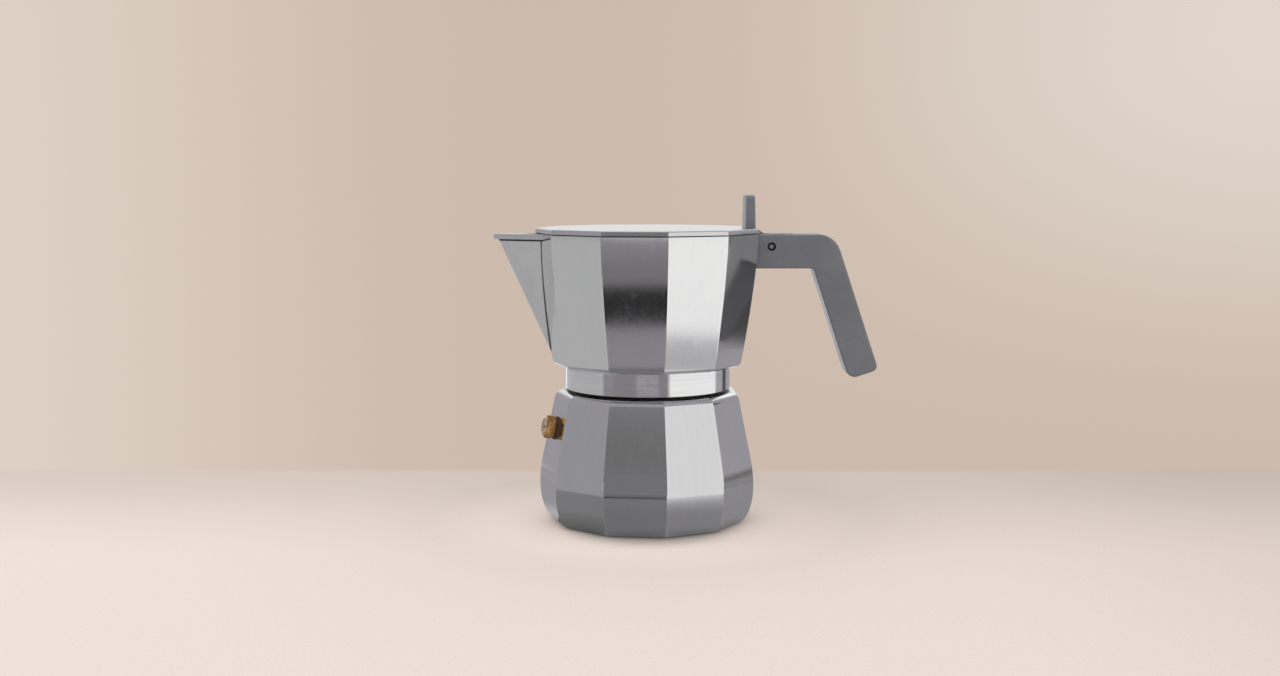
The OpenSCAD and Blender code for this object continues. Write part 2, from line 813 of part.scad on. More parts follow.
// Corners of the handle from the side, in X and Z, each with the radius that rounds it
function handle_corners() =
    let (
        lean = tan(leg_lean),
        foot_in = arm_reach - leg_w + (arm_top - leg_foot_z) * lean,
        foot_rise = leg_w * sin(leg_lean) * cos(leg_lean)
    )
    [
        [rim_flat + face_gap, arm_top, 0.6],
        [arm_reach, arm_top, elbow_r],
        [foot_in + leg_w - foot_rise * lean, leg_foot_z + foot_rise, 2.6],
        [foot_in, leg_foot_z, 4.2],
        [arm_reach - leg_w + arm_h * lean, arm_z, 1.6],
        [wall_r(arm_z) * flat_ratio + face_gap, arm_z, 0.6]
    ];

// The slot for the lug's ears, and behind it the room in which the tongue swings
module handle_slot() {
    root = rim_flat - 8;
    deep = arm_h;
    translate([root, -slot_half, web_z - 0.1])
        cube([lug_end + seat_room - root, 2 * slot_half, deep]);
    translate([pin_x, -ear_in, web_top])
        cube([swing_r + seat_room, 2 * ear_in, deep]);
}

module handle() {
    color(plastic_colour)
        difference() {
            minkowski() {
                upright(handle_w - 2 * handle_edge_r)
                    offset(delta = -handle_edge_r) polygon(rounded(handle_corners(), 6));
                sphere(handle_edge_r, $fn = 16);
            }
            handle_slot();
            translate([pin_x, 0, pin_z]) cross_bar(pin_r + fit_gap, 2 * handle_w);
            for (side = [-1, 1])
                translate([pin_x, side * (handle_w - recess_h + cut) / 2, pin_z])
                    cross_bar(recess_r, recess_h + cut);
            translate([handle_screw_x, 0, arm_z - 0.01])
                countersunk(handle_screw_r, arm_h / 2, fit_gap);
        }
}

module handle_screw() {
    color(steel_colour)
        translate([handle_screw_x, 0, arm_z + 0.02])
            countersunk(handle_screw_r, web_top - 0.4 - arm_z, 0);
}

module hinge_pin() {
    color(steel_colour)
        translate([pin_x, 0, pin_z])
            cross_bar(pin_r, handle_w - 2 * recess_h + 1);
}

boiler();
valve_body();
valve_washer();
valve_plunger();
valve_seal();
valve_spring();
valve_cap();
funnel();
funnel_screen();
gasket();
filter_plate();
collector();
lid();
knob();
knob_screws();
handle();
handle_screw();
hinge_pin();
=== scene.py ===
# %% [markdown]
# # A faceted moka pot, finished piece by piece
#
# This notebook dresses a stovetop coffee maker. Its construction is already fixed: the packed
# model has every piece at its real size. What is left is what a drawing of the parts can't
# hold: the belt-ground aluminium, the turned bands, the grain of the moulded handle, and the
# threads and screw drives that a maker would cut last.
#
# The first cell loads that fixed model. Nothing in it is moved. A piece that needs a better
# surface gets a finished copy that stands for it.

# %% Load the fixed model
import math

import bmesh
import bpy
from mathutils import Matrix, Vector
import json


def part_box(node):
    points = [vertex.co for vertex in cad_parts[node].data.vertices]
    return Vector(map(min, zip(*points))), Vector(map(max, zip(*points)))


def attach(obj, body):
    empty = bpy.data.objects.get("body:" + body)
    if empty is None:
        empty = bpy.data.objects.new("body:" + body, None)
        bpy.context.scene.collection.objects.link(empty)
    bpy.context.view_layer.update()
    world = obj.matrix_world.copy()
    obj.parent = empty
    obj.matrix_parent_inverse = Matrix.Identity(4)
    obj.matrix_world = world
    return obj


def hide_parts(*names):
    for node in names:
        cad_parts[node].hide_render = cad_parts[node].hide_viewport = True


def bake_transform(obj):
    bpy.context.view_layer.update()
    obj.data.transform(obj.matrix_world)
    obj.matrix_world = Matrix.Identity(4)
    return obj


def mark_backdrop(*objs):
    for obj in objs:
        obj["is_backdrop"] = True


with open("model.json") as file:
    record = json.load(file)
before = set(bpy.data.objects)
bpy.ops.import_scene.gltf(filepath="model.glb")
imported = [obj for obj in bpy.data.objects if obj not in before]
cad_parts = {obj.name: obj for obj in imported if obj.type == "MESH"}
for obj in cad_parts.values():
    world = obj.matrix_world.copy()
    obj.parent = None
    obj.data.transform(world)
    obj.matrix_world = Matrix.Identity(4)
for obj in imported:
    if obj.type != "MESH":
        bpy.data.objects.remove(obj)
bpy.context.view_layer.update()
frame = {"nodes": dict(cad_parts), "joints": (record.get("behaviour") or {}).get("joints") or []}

MM = 0.001
SIDES = 11

# %% [markdown]
# ## The camera
#
# A product portrait is taken from a little above the rim and from far enough away that the
# sides stay nearly parallel. The camera is given by its place, by how far it turns from
# straight ahead and by how far it tips down. A lens a little under 44 mm on a 36 mm sensor
# gives the same spread of lines as standing about 70 cm away.

# %% Camera
EYE = (-0.0188, -0.6887, 0.1523)
TIP_DOWN, TURN = 5.888, -1.274  # degrees
camera_data = bpy.data.cameras.new("portrait_camera")
camera_data.lens = 43.71
camera_data.sensor_width = 36
camera_data.clip_start = 0.01
camera = bpy.data.objects.new("portrait_camera", camera_data)
camera.location = EYE
camera.rotation_euler = (math.radians(90 - TIP_DOWN), 0, math.radians(TURN))
bpy.context.scene.collection.objects.link(camera)
bpy.context.scene.camera = camera
bpy.context.scene.view_settings.view_transform = "Standard"
print("camera stands", round(camera.location.length, 3), "m from the pot's foot")

# %% [markdown]
# ## Small tools for shader trees
#
# A material is a graph of nodes, and making one node takes three or four lines of code. `put`
# makes a node and fills its inputs in one call: a socket is linked, and any other value is
# typed in. `ramp` turns a slow number into a soft mask between two limits, which is the most
# used step in everything that follows. The others each make one common node or a short chain
# of them, and `new_finish` starts a material that is read in the piece's own coordinates.

# %% Node helpers
def put(tree, kind, inputs=None, **options):
    node = tree.nodes.new(kind)
    for name, value in options.items():
        setattr(node, name, value)
    for name, value in (inputs or {}).items():
        socket = node.inputs[name]
        if isinstance(value, bpy.types.NodeSocket):
            tree.links.new(value, socket)
        else:
            socket.default_value = (*value[:3], 1) if socket.type == "RGBA" else value
    return node


def calc(tree, operation, a, b=0.0, clamp=False):
    return put(tree, "ShaderNodeMath", {0: a, 1: b}, operation=operation, use_clamp=clamp).outputs[0]


def ramp(tree, value, low, high, out_low=0.0, out_high=1.0):
    ends = {"Value": value, "From Min": low, "From Max": high, "To Min": out_low, "To Max": out_high}
    return put(tree, "ShaderNodeMapRange", ends, interpolation_type="SMOOTHSTEP").outputs["Result"]


def blend(tree, share, first, second):
    return put(tree, "ShaderNodeMix", {0: share, 6: first, 7: second}, data_type="RGBA").outputs[2]


def mixed(tree, start, *shares):
    total = start
    for value, weight in shares:
        total = calc(tree, "ADD", total, times(tree, value, weight))
    return total


def times(tree, a, b):
    return calc(tree, "MULTIPLY", a, b)


def apart(tree, a, b):
    return calc(tree, "ABSOLUTE", calc(tree, "SUBTRACT", a, b))


def vector_calc(tree, operation, a, b=(0, 0, 0)):
    outputs = put(tree, "ShaderNodeVectorMath", {0: a, 1: b}, operation=operation).outputs
    return outputs["Value" if operation in ("LENGTH", "DOT_PRODUCT") else "Vector"]


def xyz(tree, vector):
    return put(tree, "ShaderNodeSeparateXYZ", {0: vector}).outputs


def axis_distance(tree, spot):
    flat = put(tree, "ShaderNodeCombineXYZ", {0: spot["X"], 1: spot["Y"], 2: 0.0}).outputs[0]
    return vector_calc(tree, "LENGTH", flat)


def bearing_of(tree, spot):
    return times(tree, calc(tree, "ARCTAN2", spot["X"], times(tree, spot["Y"], -1)), 180 / math.pi)


def noise(tree, vector, scale, detail, roughness=0.5, distortion=0.0):
    inputs = {"Vector": vector, "Scale": scale, "Detail": detail,
              "Roughness": roughness, "Distortion": distortion}
    return put(tree, "ShaderNodeTexNoise", inputs).outputs["Fac"]


def tidy(tree):
    for index, node in enumerate(tree.nodes):
        node.location = (220 * (index % 8), -260 * (index // 8))


def new_finish(name):
    material = bpy.data.materials.new(name)
    material.use_nodes = True
    tree = material.node_tree
    tree.nodes.clear()
    return material, tree, put(tree, "ShaderNodeTexCoord").outputs["Object"]


# %% [markdown]
# ## The room that the metal reflects
#
# Bare metal has almost no colour of its own. What is seen on it is the room. A studio puts
# large cards and one window around the pot: each flat side then mirrors one of them and reads
# as one clean tone. Here the room is a dome of tones that only reflections see. It is laid out
# by compass direction and by height, in degrees, as a photographer's plan of cards would be.
#
# Matt surfaces get an even pale light from the same dome, and the camera sees a plain wall.

# %% Studio cards
# name, tone, from and to azimuth (0 is towards the camera, + towards the handle), from and to
# height, then how soft the sides are and how soft the ends
CARDS = [
    ("left wall", (0.49, 0.49, 0.49), -126, -66, -90, -6.2, 2, 0.6),
    ("left wall, upper half", (0.35, 0.343, 0.366), -126, -66, -6.2, 42, 2, 0.6),
    ("wall behind, low", (0.455, 0.452, 0.46), 150, 236, -60, -8.6, 4, 0.9),
    ("wall behind at table height", (0.54, 0.535, 0.55), 180, 235, -8.2, -6.6, 2, 0.5),
    ("bright sweep behind", (0.83, 0.83, 0.83), 158, 202, -3.2, 60, 7, 2.5),
    ("white wall far behind", (1.05, 1.1, 1.14), 171, 198, -17, -3.4, 3, 1),
    ("dark side at the camera", (0.252, 0.243, 0.264), -66, 28, -90, 42, 1.5, 1),
    ("dark side, lower part", (0.205, 0.198, 0.208), -66, 28, -19, -12.5, 1.5, 2.5),
    ("dark side, upper part", (0.2, 0.196, 0.206), -66, 28, -5.2, 42, 1.5, 1.2),
    ("dark side, beam", (0.172, 0.17, 0.17), -66, 28, 11.2, 13.3, 1.5, 0.8),
    ("dark side, above", (0.235, 0.231, 0.241), -66, 28, 14.0, 42, 1.5, 0.5),
    ("left wall, at the lip", (0.62, 0.61, 0.65), -72, -50, -4.8, 1.5, 1.5, 0.8),
    ("dark side, lowest part", (0.285, 0.275, 0.299), -40, 28, -90, -22.8, 1.5, 0.5),
    ("table edge in shade", (0.026, 0.025, 0.025), -40, 28, -22.7, -17.6, 1.5, 0.45),
    ("pale stand beside the camera", (0.56, 0.545, 0.58), -17, 13, -8.3, -6.6, 2.5, 0.5),
    ("left wall, low in front", (0.49, 0.49, 0.49), -74, -44, -90, -15, 2, 1),
    ("window", (0.985, 0.985, 0.975), 28, 108, -90, 42, 1.5, 2),
    ("window, upper half", (0.8, 0.8, 0.8), 28, 108, -6.4, 42, 1.5, 0.6),
    ("window sill", (0.5, 0.492, 0.51), 28, 108, -90, -21.9, 1.5, 0.8),
    ("corner behind the handle", (0.36, 0.35, 0.378), 109, 150, -90, 42, 1.5, 1),
    ("bright post", (0.47, 0.462, 0.48), 109, 123, -9, -6.7, 1.5, 0.5),
    ("shelf behind the handle", (0.165, 0.162, 0.168), 112, 125, -6.2, -3.4, 1.5, 1.0),
    ("dark corner", (0.066, 0.066, 0.066), 109, 150, -14.6, -9.6, 2, 0.6),
    ("door frame", (0.06, 0.06, 0.062), 128, 139, -9, -3, 1, 0.6),
    ("overhead softbox, behind", (1.1, 1.1, 1.1), 140, 220, 24, 91, 8, 5),
]

world = bpy.data.worlds.new("studio")
bpy.context.scene.world = world
world.use_nodes = True
dome = world.node_tree
dome.nodes.clear()
direction = xyz(dome, put(dome, "ShaderNodeTexCoord").outputs["Generated"])
azimuth = bearing_of(dome, direction)
height = times(dome, calc(dome, "ARCSINE", direction["Z"]), 180 / math.pi)
# the same azimuth counted on past 180 degrees, for cards that stand right behind the pot
turned_azimuth = calc(dome, "ADD", azimuth, times(dome, calc(dome, "LESS_THAN", azimuth, 0), 360))


def between(tree, value, low, high, soft):
    rise = ramp(tree, value, low - soft, low + soft)
    fall = ramp(tree, value, high - soft, high + soft, 1.0, 0.0)
    return times(tree, rise, fall)


tones = (0.362, 0.353, 0.38)
for name, tone, west, east, bottom, top, soft_side, soft_top in CARDS:
    sideways = turned_azimuth if east > 180 and west > 0 else azimuth
    mask = times(dome, between(dome, sideways, west, east, soft_side),
                 between(dome, height, bottom, top, soft_top))
    tones = blend(dome, mask, tones, tone)


def wall_tone(tree, toward):
    left = blend(tree, ramp(tree, toward["X"], -0.42, -0.06), (0.735, 0.64, 0.563), (0.61, 0.496, 0.415))
    share = times(tree, ramp(tree, toward["X"], 0.0, 0.4), ramp(tree, toward["Z"], -0.18, 0.08))
    return blend(tree, share, left, (0.745, 0.672, 0.604))


wall = wall_tone(dome, direction)
path = put(dome, "ShaderNodeLightPath").outputs
seen_matt = blend(dome, path["Is Camera Ray"], (1.00, 0.99, 0.98), wall)
seen = blend(dome, path["Is Glossy Ray"], seen_matt, tones)
shine = put(dome, "ShaderNodeBackground", {"Color": seen, "Strength": 1.0})
world.cycles.sampling_method = "NONE"
put(dome, "ShaderNodeOutputWorld", {"Surface": shine.outputs[0]})
tidy(dome)
print("studio cards:", len(CARDS))

# %% [markdown]
# ## The floor
#
# The floor is plain and pale. Behind the pot it ends in a glowing stretch of the wall's colour, as the far
# edge of a table does. Its tone is made a little darker towards that edge and towards the back. Painted
# light lifts it just round the foot, against the dome's own contact shade. Painted shade then deepens it
# just in front of the foot and on the side beyond the handle, away from the window lamp. The metal doesn't
# mirror it: the cards of the next step are there for that.

# %% Floor
def solid(name, bm):
    mesh = bpy.data.meshes.new(name)
    bm.to_mesh(mesh)
    bm.free()
    made = bpy.data.objects.new(name, mesh)
    bpy.context.scene.collection.objects.link(made)
    return made


def verts_of(geometry):
    return [item for item in geometry if isinstance(item, bmesh.types.BMVert)]


def stage_ring(name, radius, level, material, filled=True, height=0.0):
    bm = bmesh.new()
    bmesh.ops.create_circle(bm, cap_ends=filled, radius=radius, segments=128,
                            matrix=Matrix.Translation((0, 0, level)))
    if height:
        upper = verts_of(bmesh.ops.extrude_edge_only(bm, edges=bm.edges)["geom"])
        bmesh.ops.translate(bm, verts=upper, vec=(0, 0, height))
    made = solid(name, bm)
    made.data.materials.append(material)
    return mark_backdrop(made) or made


def close_stage(material, tree, shader):
    put(tree, "ShaderNodeOutputMaterial", {"Surface": shader.outputs[0]})
    material.cycles.emission_sampling = "NONE"


BLACK = (0.0, 0.0, 0.0)
CONTACT_SHIFT = -0.022  # the soft shade at the foot lies a little towards the camera
FAR_EDGE = (0.104, 0.119)  # where the floor ends and the wall begins, in metres behind the axis
EDGE_SLANT = 0.0233  # the edge is turned a little, as the camera is, so that it looks level
paper, tree, place = new_finish("pale_paper")
speck = ramp(tree, noise(tree, place, 900.0, 3.0), 0.3, 0.7)
near_tone = blend(tree, speck, (0.736, 0.644, 0.587), (0.778, 0.682, 0.624))
# painted light: just round the foot the floor is painted brighter, against the dome's own contact shade
painted_light_tone = blend(tree, speck, (0.9, 0.788, 0.72), (0.94, 0.824, 0.755))
near_tone = blend(tree, ramp(tree, vector_calc(tree, "LENGTH", place), 0.045, 0.105), painted_light_tone, near_tone)
spot = xyz(tree, place)
depth = calc(tree, "ADD", spot["Y"], times(tree, spot["X"], EDGE_SLANT))
from_foot = vector_calc(tree, "LENGTH", vector_calc(tree, "SUBTRACT", place, (0, CONTACT_SHIFT, 0)))
# darker towards the far edge and towards the back; painted shade beyond the handle, away from the window
# lamp; painted contact shade just in front of the foot
for share, tone in ((ramp(tree, depth, 0.0, 0.11, 0.0, 0.36), (0.545, 0.47, 0.425)),  # the far half
                    (ramp(tree, depth, -0.08, 0.06, 0.0, 0.125), BLACK),  # behind the pot
                    (ramp(tree, spot["X"], 0.1, 0.3, 0.0, 0.12), BLACK),  # beyond the handle
                    (ramp(tree, from_foot, 0.022, 0.042, 0.4, 0.0), BLACK)):  # at the foot
    near_tone = blend(tree, share, near_tone, tone)
skin = put(tree, "ShaderNodeBsdfPrincipled",
           {"Base Color": near_tone, "Roughness": 0.95, "Specular IOR Level": 0.0})
toward = xyz(tree, vector_calc(tree, "NORMALIZE", vector_calc(tree, "SUBTRACT", place, camera.location)))
glow = put(tree, "ShaderNodeEmission", {"Color": wall_tone(tree, toward)})
close_stage(paper, tree, put(tree, "ShaderNodeMixShader", {
    0: ramp(tree, depth, *FAR_EDGE), 1: skin.outputs[0], 2: glow.outputs[0]}))
floor = stage_ring("floor", radius=6.0, level=0.0, material=paper)
floor.visible_glossy = False
print("floor: far edge", FAR_EDGE[0], "to", FAR_EDGE[1], "m behind the pot's axis")

# %% [markdown]
# ### Table cards
#
# A disc under the pot is a card that only reflections see. It is darker close to the pot, where
# a table lies in the pot's own shade, and that is what darkens the boiler's lower half. A low
# strip of card stands on it and carries the walls' tones down to the table, so that the belly's
# edge reads crisp.

# %% Table cards
def sectors(tree, spot, tones, rows):
    for west, east, tone in rows:
        tones = blend(tree, between(tree, bearing_of(tree, spot), west, east, 2), tones, tone)
    return tones


card, tree, place = new_finish("table_tone")
out = vector_calc(tree, "LENGTH", place)
# from and to bearing, tone close to the pot, tone further out, and the distances between which it turns
TABLE_TONES = [
    (-80, -28, (0.16, 0.16, 0.162), (0.226, 0.224, 0.229), 0.045, 0.064),
    (-28, 10, (0.186, 0.184, 0.19), (0.204, 0.201, 0.211), 0.06, 0.1),
    (10, 53, (0.247, 0.241, 0.254), (0.65, 0.645, 0.655), 0.055, 0.165),
    (53, 152, (0.281, 0.275, 0.288), (0.296, 0.288, 0.304), 0.045, 0.08),
]
tones = blend(tree, ramp(tree, out, 0.045, 0.065), (0.478, 0.466, 0.482), (0.342, 0.332, 0.352))
tones = sectors(tree, xyz(tree, place), tones,
                [(west, east, blend(tree, ramp(tree, out, start, reach), close, away))
                 for west, east, close, away, start, reach in TABLE_TONES])
under_pot = blend(tree, 0.5, BLACK, tones)
tones = blend(tree, ramp(tree, out, 0.036, 0.049), under_pot, tones)
close_stage(card, tree, put(tree, "ShaderNodeEmission", {"Color": tones}))
table = stage_ring("table_card", radius=0.15, level=-0.0004, material=card)

strip, tree, place = new_finish("table_rim_tone")
spot = xyz(tree, place)
edge_tone = blend(tree, ramp(tree, spot["Z"], 0.0068, 0.0085), (0.085, 0.084, 0.084), (0.18, 0.178, 0.184))
tones = sectors(tree, spot, (0.35, 0.343, 0.362),
                [(-28, 10, edge_tone), (10, 70, (0.81, 0.81, 0.805)), (70, 152, (0.268, 0.262, 0.275))])
close_stage(strip, tree, put(tree, "ShaderNodeEmission", {"Color": tones}))
table_rim = stage_ring("table_rim_card", radius=0.125, level=0.004, material=strip, filled=False,
                       height=0.0085)

for card_object in (table, table_rim):
    for ray in ("camera", "diffuse", "transmission", "volume_scatter", "shadow"):
        setattr(card_object, "visible_" + ray, False)
print("table cards:", table.name, table_rim.name)

# %% [markdown]
# ### Lamps
#
# One large lamp above gives the soft contact shadow. A second one at window height on the left
# lights the edges that face it. Neither is mirrored by the metal, which has its cards.

# %% Lamps
def soft_lamp(name, place, size, energy):
    data = bpy.data.lights.new(name, "AREA")
    data.shape = "DISK"
    data.size = size
    data.energy = energy
    lamp = bpy.data.objects.new(name, data)
    lamp.location = place
    lamp.rotation_euler = (-lamp.location).to_track_quat("-Z", "Y").to_euler()
    lamp.visible_glossy = False
    bpy.context.scene.collection.objects.link(lamp)


soft_lamp("top_lamp", (-0.25, -0.25, 1.2), size=1.3, energy=1.95)
soft_lamp("window_lamp", (-1.1, 0.1, 0.36), size=0.8, energy=1.9)
print("lamps:", ", ".join(lamp.name for lamp in bpy.data.lights))

# %% [markdown]
# ## Effects that several finishes share
#
# The same few things happen to most surfaces of a metal pot: a grinding belt leaves fine lines
# one way, a lathe leaves lines round the axis, the corners of the flats get rubbed bright, and
# handling leaves faint smears. Each is a node group with named inputs, built once, so each
# material can use it with its own values. A group gives out masks and heights only. The shader
# itself stays in the material.

# %% Group maker
def new_group(name, inputs, outputs):
    group = bpy.data.node_groups.new(name, "ShaderNodeTree")
    group.interface.new_socket("Place", in_out="INPUT", socket_type="NodeSocketVector")
    for label, value in inputs.items():
        kind = "NodeSocketVector" if isinstance(value, tuple) else "NodeSocketFloat"
        group.interface.new_socket(label, in_out="INPUT", socket_type=kind).default_value = value
    for label in outputs:
        group.interface.new_socket(label, in_out="OUTPUT", socket_type="NodeSocketFloat")
    return group, group.nodes.new("NodeGroupInput").outputs, group.nodes.new("NodeGroupOutput").inputs


def close_group(group, ends, **values):
    for label, value in values.items():
        group.links.new(value, ends[label])
    tidy(group)
    return group


def use(tree, group, place, **inputs):
    return put(tree, "ShaderNodeGroup", {"Place": place, **inputs}, node_tree=group).outputs


# %% [markdown]
# ### Drawn grain
#
# A belt or a brush leaves lines that are long one way and very short across. Noise does the
# same if its space is squeezed: the `Stretch` input gives the lines' density along X, Y and Z.
# One fine layer is felt as a sheen and one coarser layer is seen as faint streaks.

# %% Drawn grain
group, given, ends = new_group("Drawn grain", {"Stretch": (2600, 2600, 90)}, ["Fine", "Streak"])
fine_place = vector_calc(group, "MULTIPLY", given["Place"], given["Stretch"])
broad_place = vector_calc(group, "MULTIPLY", fine_place, (0.22, 0.22, 0.22))
drawn_grain = close_group(
    group, ends,
    Fine=ramp(group, noise(group, fine_place, 1.0, 4.0, 0.6), 0.25, 0.75),
    Streak=ramp(group, noise(group, broad_place, 1.0, 3.0, 0.55), 0.3, 0.7))

# %% [markdown]
# ### Turned lines
#
# A lathe tool feeds along the axis, so its marks circle it: they change fast with the radius
# and the height and hardly at all around. The group measures the radius from the pot's axis
# and lays thin noise rings on it.

# %% Turned lines
group, given, ends = new_group("Turned lines", {"Density": 3200.0}, ["Fine", "Band"])
spot = xyz(group, given["Place"])
bearing = calc(group, "ARCTAN2", spot["Y"], spot["X"])
rings = put(group, "ShaderNodeCombineXYZ", {
    0: times(group, axis_distance(group, spot), given["Density"]),
    1: times(group, spot["Z"], given["Density"]),
    2: times(group, calc(group, "COSINE", bearing), 1.6)}).outputs[0]
turned_lines = close_group(
    group, ends,
    Fine=ramp(group, noise(group, rings, 1.0, 3.0), 0.3, 0.7),
    Band=ramp(group, noise(group, rings, 0.2, 2.0), 0.35, 0.65))

# %% [markdown]
# ### Rubbed corners
#
# On a faceted pot the eleven upright corners take all the knocks and polishing. Their place is
# known by angle alone: a corner points along -X and the rest follow every 32.7 degrees. The
# group turns a point's bearing into its distance from the nearest corner, as a share of a flat.
# It also gives every flat a number of its own, because each one was ground in its own pass.

# %% Rubbed corners
group, given, ends = new_group("Rubbed corners", {"Width": 0.06}, ["Corner", "Flat"])
spot = xyz(group, given["Place"])
flats = times(group, calc(group, "ARCTAN2", spot["Y"], spot["X"]), SIDES / (2 * math.pi))
flats = calc(group, "ADD", flats, SIDES * 1.5)
off = apart(group, flats, calc(group, "ROUND", flats))
number = put(group, "ShaderNodeTexWhiteNoise", {"W": calc(group, "FLOOR", flats)}, noise_dimensions="1D")
rubbed_corners = close_group(
    group, ends,
    Corner=ramp(group, off, times(group, given["Width"], 0.3), given["Width"], 1.0, 0.0),
    Flat=number.outputs["Value"])

# %% [markdown]
# ### Handling marks
#
# A pot that is lifted off the stove every morning has faint smears and a few hair scratches.
# The smears are broad soft noise. The scratches are the thin zero lines of another noise, kept
# only in patches, so that they come in small families and not as a net over everything.

# %% Handling marks
group, given, ends = new_group("Handling marks", {"Size": 45.0}, ["Smear", "Scratch"])
smear = noise(group, given["Place"], given["Size"], 5.0, 0.62, 0.6)
hair_place = put(group, "ShaderNodeMapping", {"Vector": given["Place"], "Rotation": (0.4, 0.9, 0.3),
                                              "Scale": (60, 700, 420)}).outputs[0]
thin = ramp(group, apart(group, noise(group, hair_place, 1.0, 2.0), 0.5), 0.0, 0.012, 1.0, 0.0)
patch = ramp(group, noise(group, given["Place"], 70.0, 2.0), 0.56, 0.66)
handling = close_group(group, ends, Smear=ramp(group, smear, 0.3, 0.72), Scratch=times(group, thin, patch))

# %% [markdown]
# ### Cast skin and moulded skin
#
# Where no tool went, aluminium keeps the skin of its mould: a fine dull orange peel with small
# pits. A moulded plastic handle has a finer and more even grain, which its mould was etched
# with. Both are noise at two scales. They differ in depth and in how sharp the pits are, so one
# group serves both.

# %% Mould skin
group, given, ends = new_group("Mould skin", {"Density": 1400.0, "Pits": 0.5}, ["Height", "Shade"])
cells = put(group, "ShaderNodeTexVoronoi",
            {"Vector": given["Place"], "Scale": times(group, given["Density"], 0.6)})
pit = times(group, ramp(group, cells.outputs["Distance"], 0.05, 0.35, 1.0, 0.0), given["Pits"])
peel = noise(group, given["Place"], given["Density"], 4.0, 0.55)
mould_skin = close_group(
    group, ends,
    Height=calc(group, "SUBTRACT", peel, pit),
    Shade=noise(group, given["Place"], times(group, given["Density"], 0.05), 4.0))
print("shared effects:", ", ".join(sorted(g.name for g in bpy.data.node_groups)))

# %% [markdown]
# ## The metals
#
# Aluminium reflects about four fifths of the light and has no tint. What sets one surface apart
# from another is the tool that left it. The flats were ground on a fine belt from top to bottom,
# the lid was ground along its length, the skirt and the neck were turned, and the inside was
# left as cast. Each gets a base colour close to 0.8, metallic 1, and its own lines in the
# roughness and in a very low bump.

# %% Close a finish
def finish_with(tree, colour, roughness, height, depth, metallic=1.0):
    bump = put(tree, "ShaderNodeBump", {"Strength": 0.6, "Distance": depth, "Height": height}).outputs[0]
    skin = put(tree, "ShaderNodeBsdfPrincipled", {"Base Color": colour, "Roughness": roughness,
                                                  "Metallic": metallic, "Normal": bump})
    put(tree, "ShaderNodeOutputMaterial", {"Surface": skin.outputs[0]})
    tidy(tree)


# %% [markdown]
# ### Ground flats
#
# The belt runs along the height of the pot, so the grain is stretched along Z. The corners between the
# flats are rubbed smoother, and each flat has a slightly different sheen. Where the lid meets the rim, the
# shade in the seam is painted as a thin dark band, a few tenths of a millimetre wide at one known height.
# Under the collector's skirt, the shade on the boiler's shoulder is painted in the same way as a dark ring.

# %% Ground aluminium
JOINT_Z = 0.0589
JOINT_R = 0.0367
SEAM_Z = (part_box("collector")[1].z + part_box("lid")[1].z - 2.3 * MM) / 2


# painted shade: a dark ring on the boiler's shoulder and the skirt's foot, where the joint under the skirt
# lies in shade
def joint_shade(tree, place, colour):
    spot = xyz(tree, place)
    level = ramp(tree, apart(tree, spot["Z"], JOINT_Z), 0.0008, 0.0015, 1.0, 0.0)
    within = ramp(tree, axis_distance(tree, spot), JOINT_R - 0.0006, JOINT_R - 0.0001, 1.0, 0.0)
    seam_shade = times(tree, level, within)
    return blend(tree, times(tree, seam_shade, 0.97), colour, (0.02, 0.018, 0.017))


def ground_aluminium(name, stretch, corners=True, sheen=0.055):
    material, tree, place = new_finish(name)
    grain = use(tree, drawn_grain, place, Stretch=stretch)
    marks = use(tree, handling, place, Size=38.0)
    shares = [(grain["Fine"], 0.018), (grain["Streak"], 0.016),
              (marks["Smear"], 0.022), (marks["Scratch"], 0.05)]
    light = [(grain["Streak"], 0.35), (marks["Smear"], 0.3)]
    if corners:
        rub = use(tree, rubbed_corners, place, Width=0.055)
        shares += [(rub["Corner"], -0.015), (rub["Flat"], 0.01)]
        light += [(rub["Flat"], 0.2), (rub["Corner"], 0.35)]
    colour = blend(tree, mixed(tree, 0.0, *light), (0.775, 0.775, 0.782), (0.825, 0.824, 0.826))
    if corners:
        # painted shade: a thin dark band where the lid meets the rim
        seam_shade = ramp(tree, apart(tree, xyz(tree, place)["Z"], SEAM_Z), 0.00012, 0.00036, 0.92, 0.0)
        colour = blend(tree, seam_shade, colour, (0.03, 0.029, 0.03))
        colour = joint_shade(tree, place, colour)
        shares += [(seam_shade, 0.35)]
    height = mixed(tree, 0.0, (grain["Fine"], 0.7), (grain["Streak"], 0.5), (marks["Scratch"], -0.6))
    finish_with(tree, colour, mixed(tree, sheen, *shares), height, 0.000005)
    return material


wall_metal = ground_aluminium("ground_flats", (2600, 2600, 100))
lid_metal = ground_aluminium("ground_lid", (120, 2600, 2600), corners=False, sheen=0.15)
print("ground finishes:", wall_metal.name, lid_metal.name)

# %% [markdown]
# ### Turned bands
#
# The skirt, the neck and the underside were cut on a lathe. Their lines circle the pot's axis
# and are a little deeper than the belt's.

# %% Turned aluminium
turned_metal, tree, place = new_finish("turned_aluminium")
cuts = use(tree, turned_lines, place, Density=3400.0)
marks = use(tree, handling, place, Size=60.0)
colour = blend(tree, mixed(tree, 0.0, (cuts["Band"], 0.5), (marks["Smear"], 0.4)),
               (0.8, 0.798, 0.804), (0.85, 0.848, 0.85))
# painted shade in the joint under the skirt
colour = joint_shade(tree, place, colour)
rough = mixed(tree, 0.07, (cuts["Fine"], 0.03), (marks["Smear"], 0.03), (marks["Scratch"], 0.05))
height = mixed(tree, 0.0, (cuts["Fine"], 0.6), (cuts["Band"], 0.8))
finish_with(tree, colour, rough, height, 0.000012)

# %% [markdown]
# ### As cast
#
# Inside the two chambers nobody grinds. The metal is dull and slightly pitted, and it goes a
# little darker and warmer where coffee and hot water stand.

